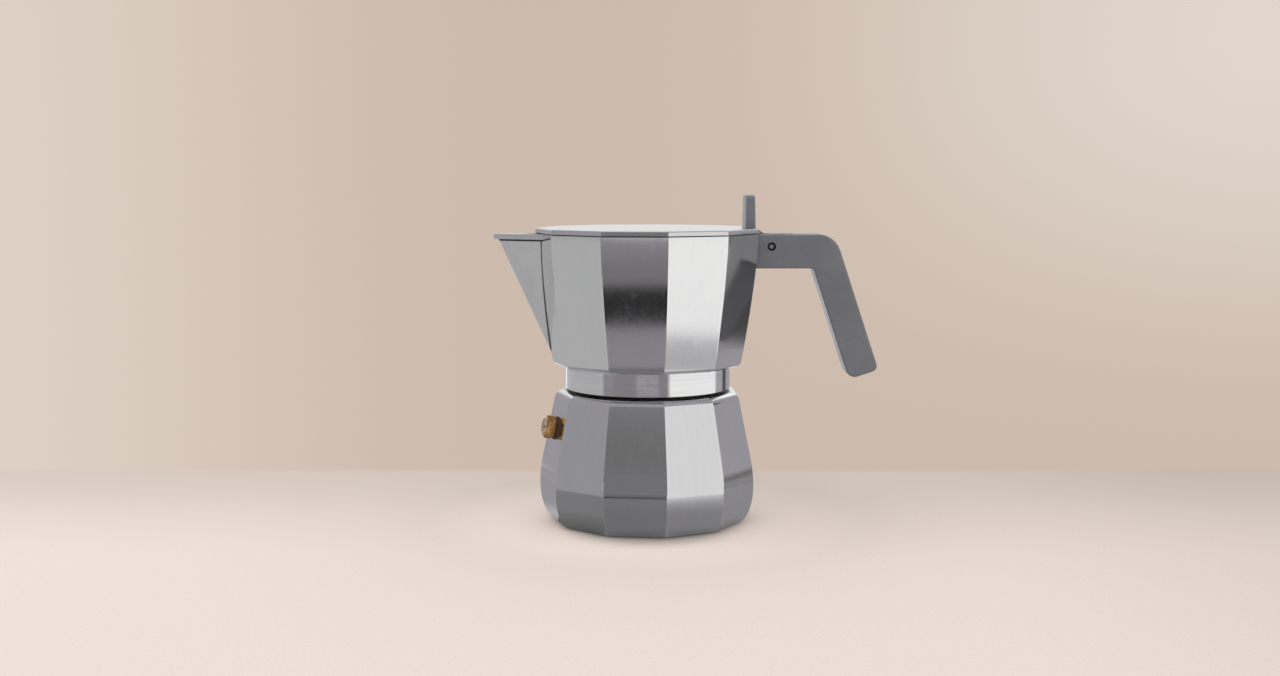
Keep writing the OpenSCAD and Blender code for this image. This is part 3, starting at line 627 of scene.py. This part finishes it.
# %% Cast aluminium
cast_metal, tree, place = new_finish("cast_aluminium")
skin = use(tree, mould_skin, place, Density=1500.0, Pits=0.35)
marks = use(tree, handling, place, Size=55.0)
colour = blend(tree, skin["Shade"], (0.66, 0.655, 0.65), (0.8, 0.8, 0.8))
stain = times(tree, marks["Smear"], 0.22)
colour = blend(tree, stain, colour, (0.42, 0.37, 0.31))
rough = mixed(tree, 0.36, (skin["Shade"], 0.14), (marks["Smear"], 0.06))
finish_with(tree, colour, rough, skin["Height"], 0.0001)

# %% [markdown]
# ### The spout's cheeks
#
# A belt can't reach into the angle between the spout and the flats, so the cheeks are only blasted and
# lightly brushed. They look pale and a little sandy. The shade in the corner under the lip and in the
# corner with the flats is painted in as a dark line. The second corner curves with the flare, so a parabola
# over the height gives its place.

# %% Blasted aluminium
UNDER_LIP = 0.12545
FLARE_FOOT, FLARE_CURVE, FLARE_SLOPE, FLARE_X = 0.0754, 1.344, 0.141, 0.04296
CREASE_SHADE_COLOUR = (0.03, 0.028, 0.027)
spout_metal, tree, place = new_finish("blasted_aluminium")
skin = use(tree, mould_skin, place, Density=2300.0, Pits=0.0)
grain = use(tree, drawn_grain, place, Stretch=(900, 900, 260))
colour = blend(tree, mixed(tree, 0.0, (skin["Height"], 0.6), (grain["Streak"], 0.4)),
               (0.735, 0.733, 0.74), (0.85, 0.848, 0.85))
spot = xyz(tree, place)
# painted shade: a dark line in the crease under the lip and in the corner with the flats
crease_shade_mask = ramp(tree, spot["Z"], UNDER_LIP - 0.001, UNDER_LIP - 0.0006, 0.0, 0.94)
rise = calc(tree, "SUBTRACT", spot["Z"], FLARE_FOOT)
corner = times(tree, rise, calc(tree, "SUBTRACT", times(tree, rise, FLARE_CURVE), FLARE_SLOPE))
out = calc(tree, "SUBTRACT", calc(tree, "SUBTRACT", corner, FLARE_X), spot["X"])
crease_shade_mask = calc(tree, "MAXIMUM", crease_shade_mask, ramp(tree, out, 0.0002, 0.0006, 0.85, 0.0))
crease_shade_mask = times(tree, crease_shade_mask, ramp(tree, spot["Z"], UNDER_LIP - 0.0001, UNDER_LIP, 1.0, 0.0))
colour = blend(tree, crease_shade_mask, colour, CREASE_SHADE_COLOUR)
rough = mixed(tree, 0.24, (skin["Shade"], 0.08), (grain["Fine"], 0.05), (crease_shade_mask, 0.35))
height = mixed(tree, 0.0, (skin["Height"], 0.6), (grain["Fine"], 0.4))
finish_with(tree, colour, rough, height, 0.000012)

# %% [markdown]
# ### Rolled sheet
#
# The funnel and the two perforated discs are pressed from rolled aluminium sheet. Rolling
# leaves very fine straight lines over the whole sheet, and coffee leaves a brown tint in the
# corners over the years.

# %% Sheet aluminium
sheet_metal, tree, place = new_finish("rolled_sheet")
grain = use(tree, drawn_grain, place, Stretch=(140, 3200, 900))
marks = use(tree, handling, place, Size=70.0)
colour = blend(tree, mixed(tree, 0.0, (grain["Streak"], 0.5), (marks["Smear"], 0.4)),
               (0.72, 0.715, 0.71), (0.83, 0.83, 0.83))
colour = blend(tree, times(tree, marks["Smear"], 0.12), colour, (0.45, 0.36, 0.27))
rough = mixed(tree, 0.22, (grain["Fine"], 0.06), (marks["Smear"], 0.08))
finish_with(tree, colour, rough, grain["Fine"], 0.000012)
print("aluminium finishes:", turned_metal.name, cast_metal.name, spout_metal.name, sheet_metal.name)

# %% [markdown]
# ### Brass
#
# The safety valve is turned from hexagonal brass bar. Steam and fingers give it a thin amber to brown
# tarnish. Two colours are mixed by soft noise, the distance along the valve's axis makes the flange darker
# next to the boiler and paints a bright highlight on the rim of the nose, partly brass rubbed bright and
# partly painted glint, and fine cutting lines sit in the bump.

# %% Tarnished brass
valve_lift = next(joint for joint in frame["joints"] if joint["name"] == "valve_lift")
VALVE_AXIS = Vector(valve_lift["axis"]).normalized()
FLANGE_OUT = 0.0512
NOSE_RIM = 0.0551
brass, tree, place = new_finish("tarnished_brass")
grain = use(tree, drawn_grain, place, Stretch=(1500, 1500, 1500))
marks = use(tree, handling, place, Size=260.0)
colour = blend(tree, mixed(tree, 0.0, (marks["Smear"], 0.75), (grain["Streak"], 0.25)),
               (0.8, 0.46, 0.165), (0.37, 0.17, 0.042))
# along the axis: a painted highlight on the nose's rim, partly rubbed brass; the flange darker next to the
# boiler
along = vector_calc(tree, "DOT_PRODUCT", place, tuple(VALVE_AXIS))
bright = ramp(tree, along, NOSE_RIM, NOSE_RIM + 0.0003, 0.0, 0.75)
colour = blend(tree, bright, colour, (0.96, 0.83, 0.64))
flange = ramp(tree, along, FLANGE_OUT, FLANGE_OUT + 0.0004, 0.62, 0.0)
colour = blend(tree, flange, colour, (0.15, 0.075, 0.026))
rough = mixed(tree, 0.18, (marks["Smear"], 0.14), (grain["Fine"], 0.05))
finish_with(tree, colour, rough, mixed(tree, 0.0, (grain["Fine"], 0.6), (marks["Scratch"], -0.5)), 0.000012)

# %% [markdown]
# ### Bright steel
#
# The hinge pin, the screws and the valve's spring are plain bright steel: a little darker and
# bluer than aluminium, and smoother, with drawing lines along the wire.

# %% Bright steel
steel, tree, place = new_finish("bright_steel")
grain = use(tree, drawn_grain, place, Stretch=(2400, 700, 2400))
marks = use(tree, handling, place, Size=160.0)
colour = blend(tree, mixed(tree, 0.0, (grain["Streak"], 0.5), (marks["Smear"], 0.4)),
               (0.56, 0.57, 0.585), (0.68, 0.685, 0.69))
rough = mixed(tree, 0.2, (grain["Fine"], 0.06), (marks["Smear"], 0.08))
finish_with(tree, colour, rough, grain["Fine"], 0.00001)

# %% [markdown]
# ### Painted crease shade and fibre
#
# The creases of the casting and the recess at the hinge pin's ends get a dull near-black finish, which
# paints the shade that falls in them. The washer under the valve is pressed fibre, brown and matt with a
# short mottled grain. Neither reflects like metal, so both are plain rough surfaces with their colour
# broken up by noise.

# %% Painted crease shade and fibre
# a near-black finish that paints the shade in creases and recesses
painted_crease_shade, tree, place = new_finish("painted_crease_shade")
skin = use(tree, mould_skin, place, Density=1800.0, Pits=0.3)
colour = blend(tree, skin["Shade"], (0.014, 0.013, 0.014), (0.05, 0.048, 0.048))
finish_with(tree, colour, mixed(tree, 0.45, (skin["Shade"], 0.2)), skin["Height"], 0.00002, metallic=0.0)

fibre, tree, place = new_finish("brown_fibre")
skin = use(tree, mould_skin, place, Density=2400.0, Pits=0.3)
colour = blend(tree, skin["Height"], (0.05, 0.026, 0.014), (0.125, 0.07, 0.038))
finish_with(tree, colour, mixed(tree, 0.6, (skin["Shade"], 0.2)), skin["Height"], 0.00002, metallic=0.0)

# %% [markdown]
# ### Rubber
#
# The gasket is pale silicone-like rubber that has taken some colour from coffee. It is matt, not
# metal, and has a very fine skin from its mould.

# %% Gasket rubber
rubber, tree, place = new_finish("pale_rubber")
skin = use(tree, mould_skin, place, Density=2600.0, Pits=0.2)
marks = use(tree, handling, place, Size=90.0)
colour = blend(tree, times(tree, marks["Smear"], 0.5), (0.72, 0.7, 0.66), (0.55, 0.47, 0.38))
rough = mixed(tree, 0.55, (skin["Shade"], 0.18))
finish_with(tree, colour, rough, skin["Height"], 0.000025, metallic=0.0)

# %% [markdown]
# ### Moulded plastic
#
# The handle and the knob are one dark blue-grey thermoset. Its mould was etched, so the faces have a fine
# even grain, and the edges that a hand rubs are smoother and a little paler. How far a point is from the
# handle's middle plane tells whether it is near an edge, so the wear mask needs nothing but the Y
# coordinate and the piece's half width. The narrow recess round the hinge pin is painted almost black
# inside, as painted shade.

# %% Handle plastic
RECESS_R = 0.00188


def moulded_plastic(name, half_width, hole=None):
    material, tree, place = new_finish(name)
    skin = use(tree, mould_skin, place, Density=2100.0, Pits=0.45)
    marks = use(tree, handling, place, Size=48.0)
    side = calc(tree, "ABSOLUTE", xyz(tree, place)["Y"])
    near_edge = ramp(tree, side, half_width - 0.0016, half_width - 0.0001)
    edge_wear = times(tree, near_edge, mixed(tree, 0.45, (marks["Smear"], 0.5)))
    colour = blend(tree, mixed(tree, 0.0, (skin["Shade"], 0.5), (marks["Smear"], 0.35)),
                   (0.126, 0.137, 0.158), (0.168, 0.182, 0.206))
    colour = blend(tree, times(tree, edge_wear, 0.45), colour, (0.215, 0.223, 0.24))
    colour = blend(tree, times(tree, marks["Scratch"], 0.15), colour, (0.24, 0.245, 0.26))
    # painted shade: the recess round the hinge pin is coloured almost black
    if hole is not None:
        across = vector_calc(tree, "SUBTRACT", place, (hole.x, 0, hole.z))
        reach = vector_calc(tree, "LENGTH", vector_calc(tree, "MULTIPLY", across, (1, 0, 1)))
        recess_shade = times(tree, ramp(tree, reach, RECESS_R, RECESS_R + 0.00008, 1.0, 0.0),
                      ramp(tree, side, half_width - 0.00012, half_width - 0.00004, 1.0, 0.0))
        colour = blend(tree, recess_shade, colour, (0.01, 0.01, 0.011))
    rough = mixed(tree, 0.25, (skin["Height"], 0.06), (marks["Smear"], 0.06), (edge_wear, -0.06))
    finish_with(tree, colour, rough, skin["Height"], 0.00003, metallic=0.0)
    return material


pin_low, pin_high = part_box("hinge_pin")
pin_centre = (pin_low + pin_high) / 2
handle_plastic = moulded_plastic("handle_plastic", half_width=0.007, hole=pin_centre)
knob_plastic = moulded_plastic("knob_plastic", half_width=0.009)
print("other finishes:", brass.name, steel.name, rubber.name, handle_plastic.name, knob_plastic.name)

# %% [markdown]
# ## Finished copies of the fixed pieces
#
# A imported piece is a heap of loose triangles. To shade it like metal its copy is first sewn
# together. Edges that turn more than about 28 degrees stay crisp, all others are smooth. The
# Weighted Normal modifier then makes each large flat shade truly flat up to its rounded corner.
# That is what lets one flat mirror one studio card. `zone` picks a finish for each face by where
# the face is and which way it looks.

# %% Copy and dress
def edges_by_angle(bm, degrees):
    limit = math.radians(degrees)
    for edge in bm.edges:
        edge.smooth = edge.is_manifold and edge.calc_face_angle(0) < limit
    for face in bm.faces:
        face.smooth = True


def place_piece(name, bm, body, materials, stands_for=()):
    piece = solid(name, bm)
    for material in materials:
        piece.data.materials.append(material)
    if body:
        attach(piece, body)
    if stands_for:
        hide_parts(*stands_for)
    return piece


def weigh_normals(piece):
    modifier = piece.modifiers.new("even_flats", "WEIGHTED_NORMAL")
    modifier.keep_sharp = True
    modifier.weight = 80
    return piece


SEW_REACH = 2e-6  # metres
SAME_PLANE = math.radians(0.2)


def sewn(node):
    bm = bmesh.new()
    bm.from_mesh(frame["nodes"][node].data)
    before = len(bm.verts)
    bmesh.ops.remove_doubles(bm, verts=bm.verts, dist=SEW_REACH)
    bmesh.ops.dissolve_limit(bm, angle_limit=SAME_PLANE, verts=bm.verts, edges=bm.edges)
    print(f"{node}: {before} loose corners sewn to {len(bm.verts)}")
    return bm


def dressed(node, body, materials, zone=None, sharp=28, bm=None):
    bm = bm or sewn(node)
    edges_by_angle(bm, sharp)
    for face in bm.faces:
        if face.material_index == 0:
            face.material_index = zone(face.calc_center_median() / MM, face.normal) if zone else 0
    return weigh_normals(place_piece(node + "_finished", bm, body, materials, (node,)))


# %% [markdown]
# No real edge is perfectly sharp. A file or a tumbling drum takes off a few tenths of a millimetre, and
# that narrow strip is what glints. `filed` bevels the outward edges of a sewn copy. `creased` does the same
# for inward edges, and gives the narrow strip a near-black material of its own, which paints the shade that
# falls in every crease.

# %% File the edges, fill the creases
def turned_edges(bm, degrees, outward, where):
    limit = math.radians(degrees)
    chosen = []
    for edge in bm.edges:
        if edge.is_manifold and where((edge.verts[0].co + edge.verts[1].co) / 2 / MM):
            turn = edge.calc_face_angle_signed(0)
            if (turn if outward else -turn) > limit:
                chosen.append(edge)
    return chosen


def rounded(bm, edges, width, segments, clamp=True):
    return bmesh.ops.bevel(bm, geom=edges, offset=width * MM, offset_type="OFFSET", affect="EDGES",
                           segments=segments, profile=0.5, material=-1, clamp_overlap=clamp)["faces"]


def filed(bm, width, segments=2, degrees=35, where=lambda middle: True):
    edges = turned_edges(bm, degrees, True, where)
    rounded(bm, edges, width, segments)
    print(f"  filed {len(edges)} edges by {width} mm")
    return bm


def creased(bm, width, material_index, degrees=20, where=lambda middle: True):
    edges = turned_edges(bm, degrees, False, where)
    for face in rounded(bm, edges, width, 1):
        face.material_index = material_index
    print(f"  filled {len(edges)} creases")
    return bm


# %% [markdown]
# ### Boiler
#
# The boiler is one casting. Its flats are ground, its neck and its foot are turned, and its
# inside is as cast. The neck is told by its radius and height, the inside by faces that look
# towards the axis.

# %% Boiler finish
def looks_in(centre, normal):
    return centre.x * normal.x + centre.y * normal.y < -0.2 * centre.xy.length


NECK_R, NECK_FOOT, NECK_EDGE = 31.5, 58.5, 67  # mm: the neck's wall, where it starts and its rim


def boiler_zone(centre, normal):
    radius = centre.xy.length
    if centre.z < 0.3 or (centre.z > NECK_FOOT and radius > NECK_R) or centre.z > NECK_EDGE + 1:
        return 1
    return 2 if looks_in(centre, normal) or radius < NECK_R else 0


boiler = filed(sewn("boiler"), 0.35, where=lambda m: m.z > NECK_EDGE or m.z < 1)
dressed("boiler", "pot", [wall_metal, turned_metal, cast_metal], boiler_zone, bm=boiler)

# %% [markdown]
# ### Collector
#
# The upper chamber is the most skilled casting: eleven flats that flare to the rim, an open
# V-shaped spout with a thin lip, the coffee column in the middle and the round skirt that the
# boiler screws into. The skirt is turned, the cheeks of the spout are blasted, and the chamber
# and the column are as cast.

# %% Collector finish
SKIRT_TOP, SKIRT_R, CHAMBER_FLOOR, RIM_Z = 69.3, 37, 76, 127  # mm
CHAMBER_R, COLUMN_R = 49, 20  # mm: between them only the faces that look in are as cast
SPOUT_X, SPOUT_FOOT = -44, 90  # mm: the spout's cheeks lie further out and higher than this
LIP_X, LIP_TIP = -47, -52  # mm: where the lip starts and where its rounded tip does
LIP_EDGE = (125, 126)  # mm: the crease under the spout's lip
CHEEK_HALF = 13  # mm: no part of the spout is further from the middle plane
FLAT_OUT = 45.2  # mm: the two flats beside the spout end here, along their own normal
FLAT_NORMAL = (0.9595, 0.2817)


def collector_zone(centre, normal):
    radius = centre.xy.length
    if centre.z < SKIRT_TOP and not (radius > SKIRT_R and normal.z > -0.5):
        return 1
    if centre.z > CHAMBER_FLOOR and radius < CHAMBER_R and (looks_in(centre, normal) or radius < COLUMN_R):
        return 2
    if 70 < centre.z < CHAMBER_FLOOR + 0.5 and normal.z > 0.5:
        return 2
    beyond_flats = FLAT_OUT + centre.x * FLAT_NORMAL[0] - abs(centre.y) * FLAT_NORMAL[1] < 0
    if centre.x < SPOUT_X and abs(centre.y) < CHEEK_HALF and centre.z > SPOUT_FOOT and beyond_flats:
        return 3
    return 4 if normal.z > 0.9 and centre.z > RIM_Z else 0


def under_lip(m):
    return m.x < LIP_X and LIP_EDGE[0] < m.z < LIP_EDGE[1] and abs(m.y) > 0.5


def beside_spout(m):
    return m.x < -42.5 and CHAMBER_FLOOR - 0.5 < m.z < LIP_EDGE[0] - 1 and 0.55 < abs(m.y) < CHEEK_HALF


# the creases under the lip and beside the spout get the near-black finish as painted shade
collector = creased(sewn("collector"), 0.75, 5, where=under_lip)
creased(collector, 0.62, 5, where=beside_spout)
filed(collector, 0.3, where=lambda m: m.z > RIM_Z - 1 or m.z < 60 or m.x < LIP_TIP)
collector_metals = [wall_metal, turned_metal, cast_metal, spout_metal, lid_metal, painted_crease_shade]
dressed("collector", "collector", collector_metals, collector_zone, bm=collector)

# %% [markdown]
# ### Lid
#
# The lid's top was ground along its length. Its edge belongs to the flats and has their grain.
# Underneath it is as cast. Its hinge tongue leaves the edge as a low strap, milled to a slope so
# that it runs down nearly flush with the handle's arm: one cut along the lid's edge, one
# sloping cut, and the two open faces are closed again.

# %% Lid finish
LID_TOP, LID_R = 128.5, 50.5  # mm: the top is above the first, only the tongue is beyond the second


def lid_zone(centre, normal):
    if normal.z > 0.7 and centre.z > LID_TOP:
        return 1
    return 2 if normal.z < -0.7 or centre.xy.length > LID_R else 0


TONGUE_X = 48.35
TONGUE_TOP = Vector((48.6, 0, 129.6)) * MM
TONGUE_SLOPE = Vector((0.54, 0, 0.84))
TOUCH = 1e-6  # metres


def with_rims(faces):
    return faces + list({part for face in faces for part in (*face.edges, *face.verts)})


def lowered_tongue(bm):
    bmesh.ops.bisect_plane(bm, geom=with_rims(bm.faces[:]), dist=TOUCH / 10,
                           plane_co=(TONGUE_X * MM, 0, 0), plane_no=(1, 0, 0))
    tongue = [face for face in bm.faces if face.calc_center_median().x > TONGUE_X * MM]
    bmesh.ops.bisect_plane(bm, geom=with_rims(tongue), dist=TOUCH / 10, plane_co=TONGUE_TOP,
                           plane_no=TONGUE_SLOPE)
    above = [face for face in bm.faces if face.calc_center_median().x > (TONGUE_X + 0.01) * MM
             and (face.calc_center_median() - TONGUE_TOP).dot(TONGUE_SLOPE) > TOUCH]
    bmesh.ops.delete(bm, geom=above, context="FACES")
    open_verts = {vert for edge in bm.edges if edge.is_boundary for vert in edge.verts}
    step = [vert for vert in open_verts if abs(vert.co.x - TONGUE_X * MM) < TOUCH]
    slope = [vert for vert in open_verts if abs((vert.co - TONGUE_TOP).dot(TONGUE_SLOPE)) < TOUCH]
    bmesh.ops.contextual_create(bm, geom=[vert for vert in step if vert in slope])
    for side in (step, slope):
        bmesh.ops.contextual_create(bm, geom=side)
    still_open = sum(not edge.is_manifold for edge in bm.edges)
    print(f"  tongue lowered: {len(above)} faces off, {still_open} open edges left")
    return bm


lid = filed(lowered_tongue(sewn("lid")), 0.3, where=lambda m: m.x < 48)
dressed("lid", "lid", [wall_metal, lid_metal, cast_metal], lid_zone, bm=lid)

# %% [markdown]
# ### Coffee funnel, its screen, the gasket and the filter plate
#
# These stay inside until the pot is taken apart, and then they are what a hand holds. Their
# shapes are already right, with every hole in place. They only need their metals.

# %% Inner pieces
FLANGE_R = 30.3  # mm: the funnel's turned rim starts here


def funnel_zone(centre, normal):
    return 1 if centre.xy.length > FLANGE_R else 0


dressed("funnel", "funnel", [sheet_metal, turned_metal], funnel_zone)
dressed("funnel_screen", "funnel", [sheet_metal], sharp=40)
dressed("filter_plate", "filter", [sheet_metal], sharp=40)
dressed("gasket", "gasket", [rubber], bm=filed(sewn("gasket"), 0.5, segments=3))

# %% [markdown]
# ### Safety valve
#
# The valve body is hexagonal brass with a turned flange and nose. Its pin sticks out of the nose and can be
# pressed to free scale. The washer under its collar is hard brown fibre. The spring is held by the cap at
# one end and pushed by the pin's disc at the other, so its coils close up when the valve lifts.

# %% Valve pieces
dressed("valve_body", "pot", [brass], bm=filed(sewn("valve_body"), 0.14, degrees=25))
dressed("valve_cap", "pot", [brass])
dressed("valve_plunger", "valve_pin", [brass])
dressed("valve_seal", "valve_pin", [rubber])
dressed("valve_washer", "pot", [fibre])
spring = dressed("valve_spring", None, [steel], sharp=60)
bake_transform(spring)

# %% [markdown]
# ### Handle
#
# The handle is moulded in one piece, with two cheeks that hold the hinge pin. Its rounded edges
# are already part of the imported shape.

# %% Handle finish
dressed("handle", "collector", [handle_plastic], sharp=34)

# %% [markdown]
# ### Screw threads
#
# The two chambers are joined by a coarse cast and chased thread: an outside thread on the
# boiler's neck and an inside thread in the collector's skirt, both with a 3 mm pitch and
# right-handed. A thread is one ridge swept along a helix. The spin operator does just that when
# each of its steps also moves the section along the axis. A real thread doesn't stop with a
# cliff, so the ridge sinks into its wall over the first and last third of a turn.

# %% Thread maker
RUN_OUT = 0.33  # of a turn, at both ends
FOOT_HALF, CREST_HALF = 1.05, 0.28  # mm: half the ridge's width at its wall and at its top


def thread(name, body, root, crest, start, turns, pitch=3.0, steps=72):
    bm = bmesh.new()
    section = [(root, -FOOT_HALF), (crest, -CREST_HALF), (crest, CREST_HALF), (root, FOOT_HALF)]
    corners = [bm.verts.new((r * MM, 0, (start + z) * MM)) for r, z in section]
    edges = [bm.edges.new(pair) for pair in zip(corners, corners[1:] + corners[:1])]
    count = int(steps * turns)
    bmesh.ops.spin(bm, geom=corners + edges, cent=(0, 0, 0), axis=(0, 0, 1),
                   dvec=(0, 0, pitch * MM / steps), angle=2 * math.pi * turns, steps=count, use_merge=False)
    for vert in bm.verts:
        share = math.atan2(vert.co.y, vert.co.x) / (2 * math.pi)
        turn = share + round((vert.co.z / MM - start) / pitch - share)
        fade = min(1, max(0, min(turn, turns - turn)) / RUN_OUT)
        radius = root + (vert.co.xy.length / MM - root) * fade * fade * (3 - 2 * fade)
        vert.co.xy = vert.co.xy.normalized() * radius * MM
    bmesh.ops.holes_fill(bm, edges=bm.edges, sides=8)
    bmesh.ops.recalc_face_normals(bm, faces=bm.faces)
    edges_by_angle(bm, 50)
    top = max(vert.co.z for vert in bm.verts) / MM
    print(f"{name}: {turns} turns, top at {top:.2f} mm")
    return place_piece(name, bm, body, [turned_metal])


thread("neck_thread", "pot", root=31.9, crest=32.85, start=60.6, turns=2.05)
thread("skirt_thread", "collector", root=34.1, crest=33.15, start=61.2, turns=2.1)

# %% [markdown]
# ### Hinge pin
#
# The pin is a short steel rod. Its ends are turned down in a step, whose faces get the near-black crease
# finish as painted shade in the recess round the pin, and a centre dimple is left from turning. A pin is
# round, so one outline spun about the axis gives the whole of it. The spin runs about Z first and the
# result is then laid along Y, through the handle's cheeks.

# %% Turned pieces
def lathed(outline, steps=48):
    bm = bmesh.new()
    corners = [bm.verts.new((r * MM, 0, z * MM)) for r, z in outline]
    edges = [bm.edges.new(pair) for pair in zip(corners, corners[1:])]
    bmesh.ops.spin(bm, geom=corners + edges, cent=(0, 0, 0), axis=(0, 0, 1), dvec=(0, 0, 0),
                   angle=2 * math.pi, steps=steps, use_merge=True)
    bmesh.ops.remove_doubles(bm, verts=bm.verts, dist=TOUCH)
    bmesh.ops.recalc_face_normals(bm, faces=bm.faces)
    return bm


pin_r = (pin_high.x - pin_low.x) / 2 / MM
pin_half = (pin_high.y - pin_low.y) / 2 / MM
# radius and depth below the end: the dimple, the end face, the step turned down, the full rod
END = [(0, 0.25), (0.16, 0.2), (0.3, 0), (0.96, 0), (1.02, 0.06), (1.04, 0.45),
       (pin_r - 0.04, 0.5), (pin_r, 0.55)]
bm = lathed([(r, pin_half - z) for r, z in END] + [(r, z - pin_half) for r, z in reversed(END)])
bmesh.ops.rotate(bm, verts=bm.verts, matrix=Matrix.Rotation(math.pi / 2, 3, "X"))
bmesh.ops.translate(bm, verts=bm.verts, vec=pin_centre)
edges_by_angle(bm, 30)
# the step's faces get the near-black finish: painted shade in the recess round the pin's end
for face in bm.faces:
    middle = face.calc_center_median() - pin_centre
    off_axis = math.hypot(middle.x, middle.z) / MM
    face.material_index = 1 if off_axis > 1.0 and abs(middle.y) / MM > pin_half - 0.52 else 0
place_piece("hinge_pin_finished", bm, "collector", [steel, painted_crease_shade], ("hinge_pin",))
print(f"hinge pin: radius {pin_r:.2f} mm, half length {pin_half:.2f} mm")

# %% [markdown]
# ### Countersunk screws
#
# Three small screws hold the plastic parts: two go up through the lid into the knob, and one
# goes up through the handle's arm. Each is lathed with its cone-shaped head. Then the head's
# flat face gets its drive: the middle face is made hexagonal by bridging a ring of six corners
# to the round rim, and that hexagon is pushed in as a socket.

# %% Screw maker
RIM_H, POINT_H, POINT_SHARE, SOCKET_SHARE = 0.25, 0.5, 0.55, 0.8


def add_screw(bm, foot, head_r, shank_r, length, socket_r):
    cone = head_r - shank_r
    part = bmesh.new()
    rim = bmesh.ops.create_circle(part, cap_ends=False, radius=head_r * MM, segments=48)["verts"]
    rings = [(head_r, RIM_H), (shank_r, RIM_H + cone), (shank_r, length - POINT_H),
             (shank_r * POINT_SHARE, length)]
    last = part.edges[:]
    for r, z in rings:
        grown = bmesh.ops.extrude_edge_only(part, edges=last)["geom"]
        ring_verts = verts_of(grown)
        last = [item for item in grown if isinstance(item, bmesh.types.BMEdge)
                and all(v in ring_verts for v in item.verts)]
        for vert in ring_verts:
            vert.co = Vector((*(vert.co.xy.normalized() * r * MM), z * MM))
    bmesh.ops.contextual_create(part, geom=last)
    head_edges = [edge for edge in part.edges if all(v in rim for v in edge.verts)]
    hexagon = bmesh.ops.create_circle(part, cap_ends=False, radius=socket_r * MM, segments=6)["verts"]
    hex_edges = list({edge for vert in hexagon for edge in vert.link_edges})
    bmesh.ops.bridge_loops(part, edges=head_edges + hex_edges)
    floor_verts = verts_of(bmesh.ops.extrude_edge_only(part, edges=hex_edges)["geom"])
    bmesh.ops.translate(part, verts=floor_verts, vec=(0, 0, cone * SOCKET_SHARE * MM))
    bmesh.ops.contextual_create(part, geom=floor_verts)
    bmesh.ops.recalc_face_normals(part, faces=part.faces)
    bmesh.ops.translate(part, verts=part.verts, vec=foot)
    mesh = bpy.data.meshes.new("screw_part")
    part.to_mesh(mesh)
    part.free()
    bm.from_mesh(mesh)
    bpy.data.meshes.remove(mesh)


def screw_pieces(name, node, body, feet, head_r, shank_r, socket_r):
    low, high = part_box(node)
    bm = bmesh.new()
    for x, y in feet:
        add_screw(bm, Vector((x, y, low.z)), head_r, shank_r, (high.z - low.z) / MM, socket_r)
    edges_by_angle(bm, 30)
    place_piece(name, bm, body, [steel], (node,))
    print(f"{name}: {len(feet)} of length {(high.z - low.z) / MM:.1f} mm")


low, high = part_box("knob_screws")
screw_head = (high.x - low.x) / 2 / MM
screw_y = high.y - screw_head * MM
middle_x = (low.x + high.x) / 2
screw_pieces("knob_screws_finished", "knob_screws", "lid", [(middle_x, screw_y), (middle_x, -screw_y)],
             screw_head, shank_r=1.25, socket_r=1.0)
low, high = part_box("handle_screw")
screw_pieces("handle_screw_finished", "handle_screw", "collector", [((low.x + high.x) / 2, 0)],
             (high.x - low.x) / 2 / MM, shank_r=1.95, socket_r=1.5)

# %% [markdown]
# ### Knob
#
# The knob is a thumb tab: a thin upright block of plastic that is a little slimmer and narrower
# at its top. A cube is brought to the tab's size and its top is drawn in. Then its top corners
# are rounded widely and every other edge gets the small radius that a mould needs.

# %% Knob
TOP_SHARE = (0.86, 0.93, 1)  # of the foot's size
TOP_CORNER_R, EDGE_R = 2.2, 0.55  # mm
low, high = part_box("knob")
size = high - low
bm = bmesh.new()
middle = (low + high) / 2
bmesh.ops.create_cube(bm, size=1.0)
bmesh.ops.scale(bm, verts=bm.verts, vec=size)
bmesh.ops.translate(bm, verts=bm.verts, vec=middle)
top_verts = [vert for vert in bm.verts if vert.co.z > high.z - 0.1 * MM]
bmesh.ops.scale(bm, verts=top_verts, vec=TOP_SHARE, space=Matrix.Translation(-middle))
end_edges = [edge for edge in bm.edges if all(v in top_verts for v in edge.verts)
             and abs(edge.verts[0].co.y - edge.verts[1].co.y) < TOUCH]
rounded(bm, end_edges, TOP_CORNER_R, 6, clamp=False)
sharp_edges = [edge for edge in bm.edges if edge.calc_face_angle(0) > math.radians(40)
               and any(v.co.z > low.z + 0.1 * MM for v in edge.verts)]
rounded(bm, sharp_edges, EDGE_R, 4)
edges_by_angle(bm, 40)
weigh_normals(place_piece("knob_finished", bm, "lid", [knob_plastic], ("knob",)))
print("knob:", [round(v / MM, 1) for v in size], "mm")

# %% [markdown]
# ### Sizes and finish
#
# The dressed pot must fill the same box as the fixed model.

# %% Sizes and finish
import json
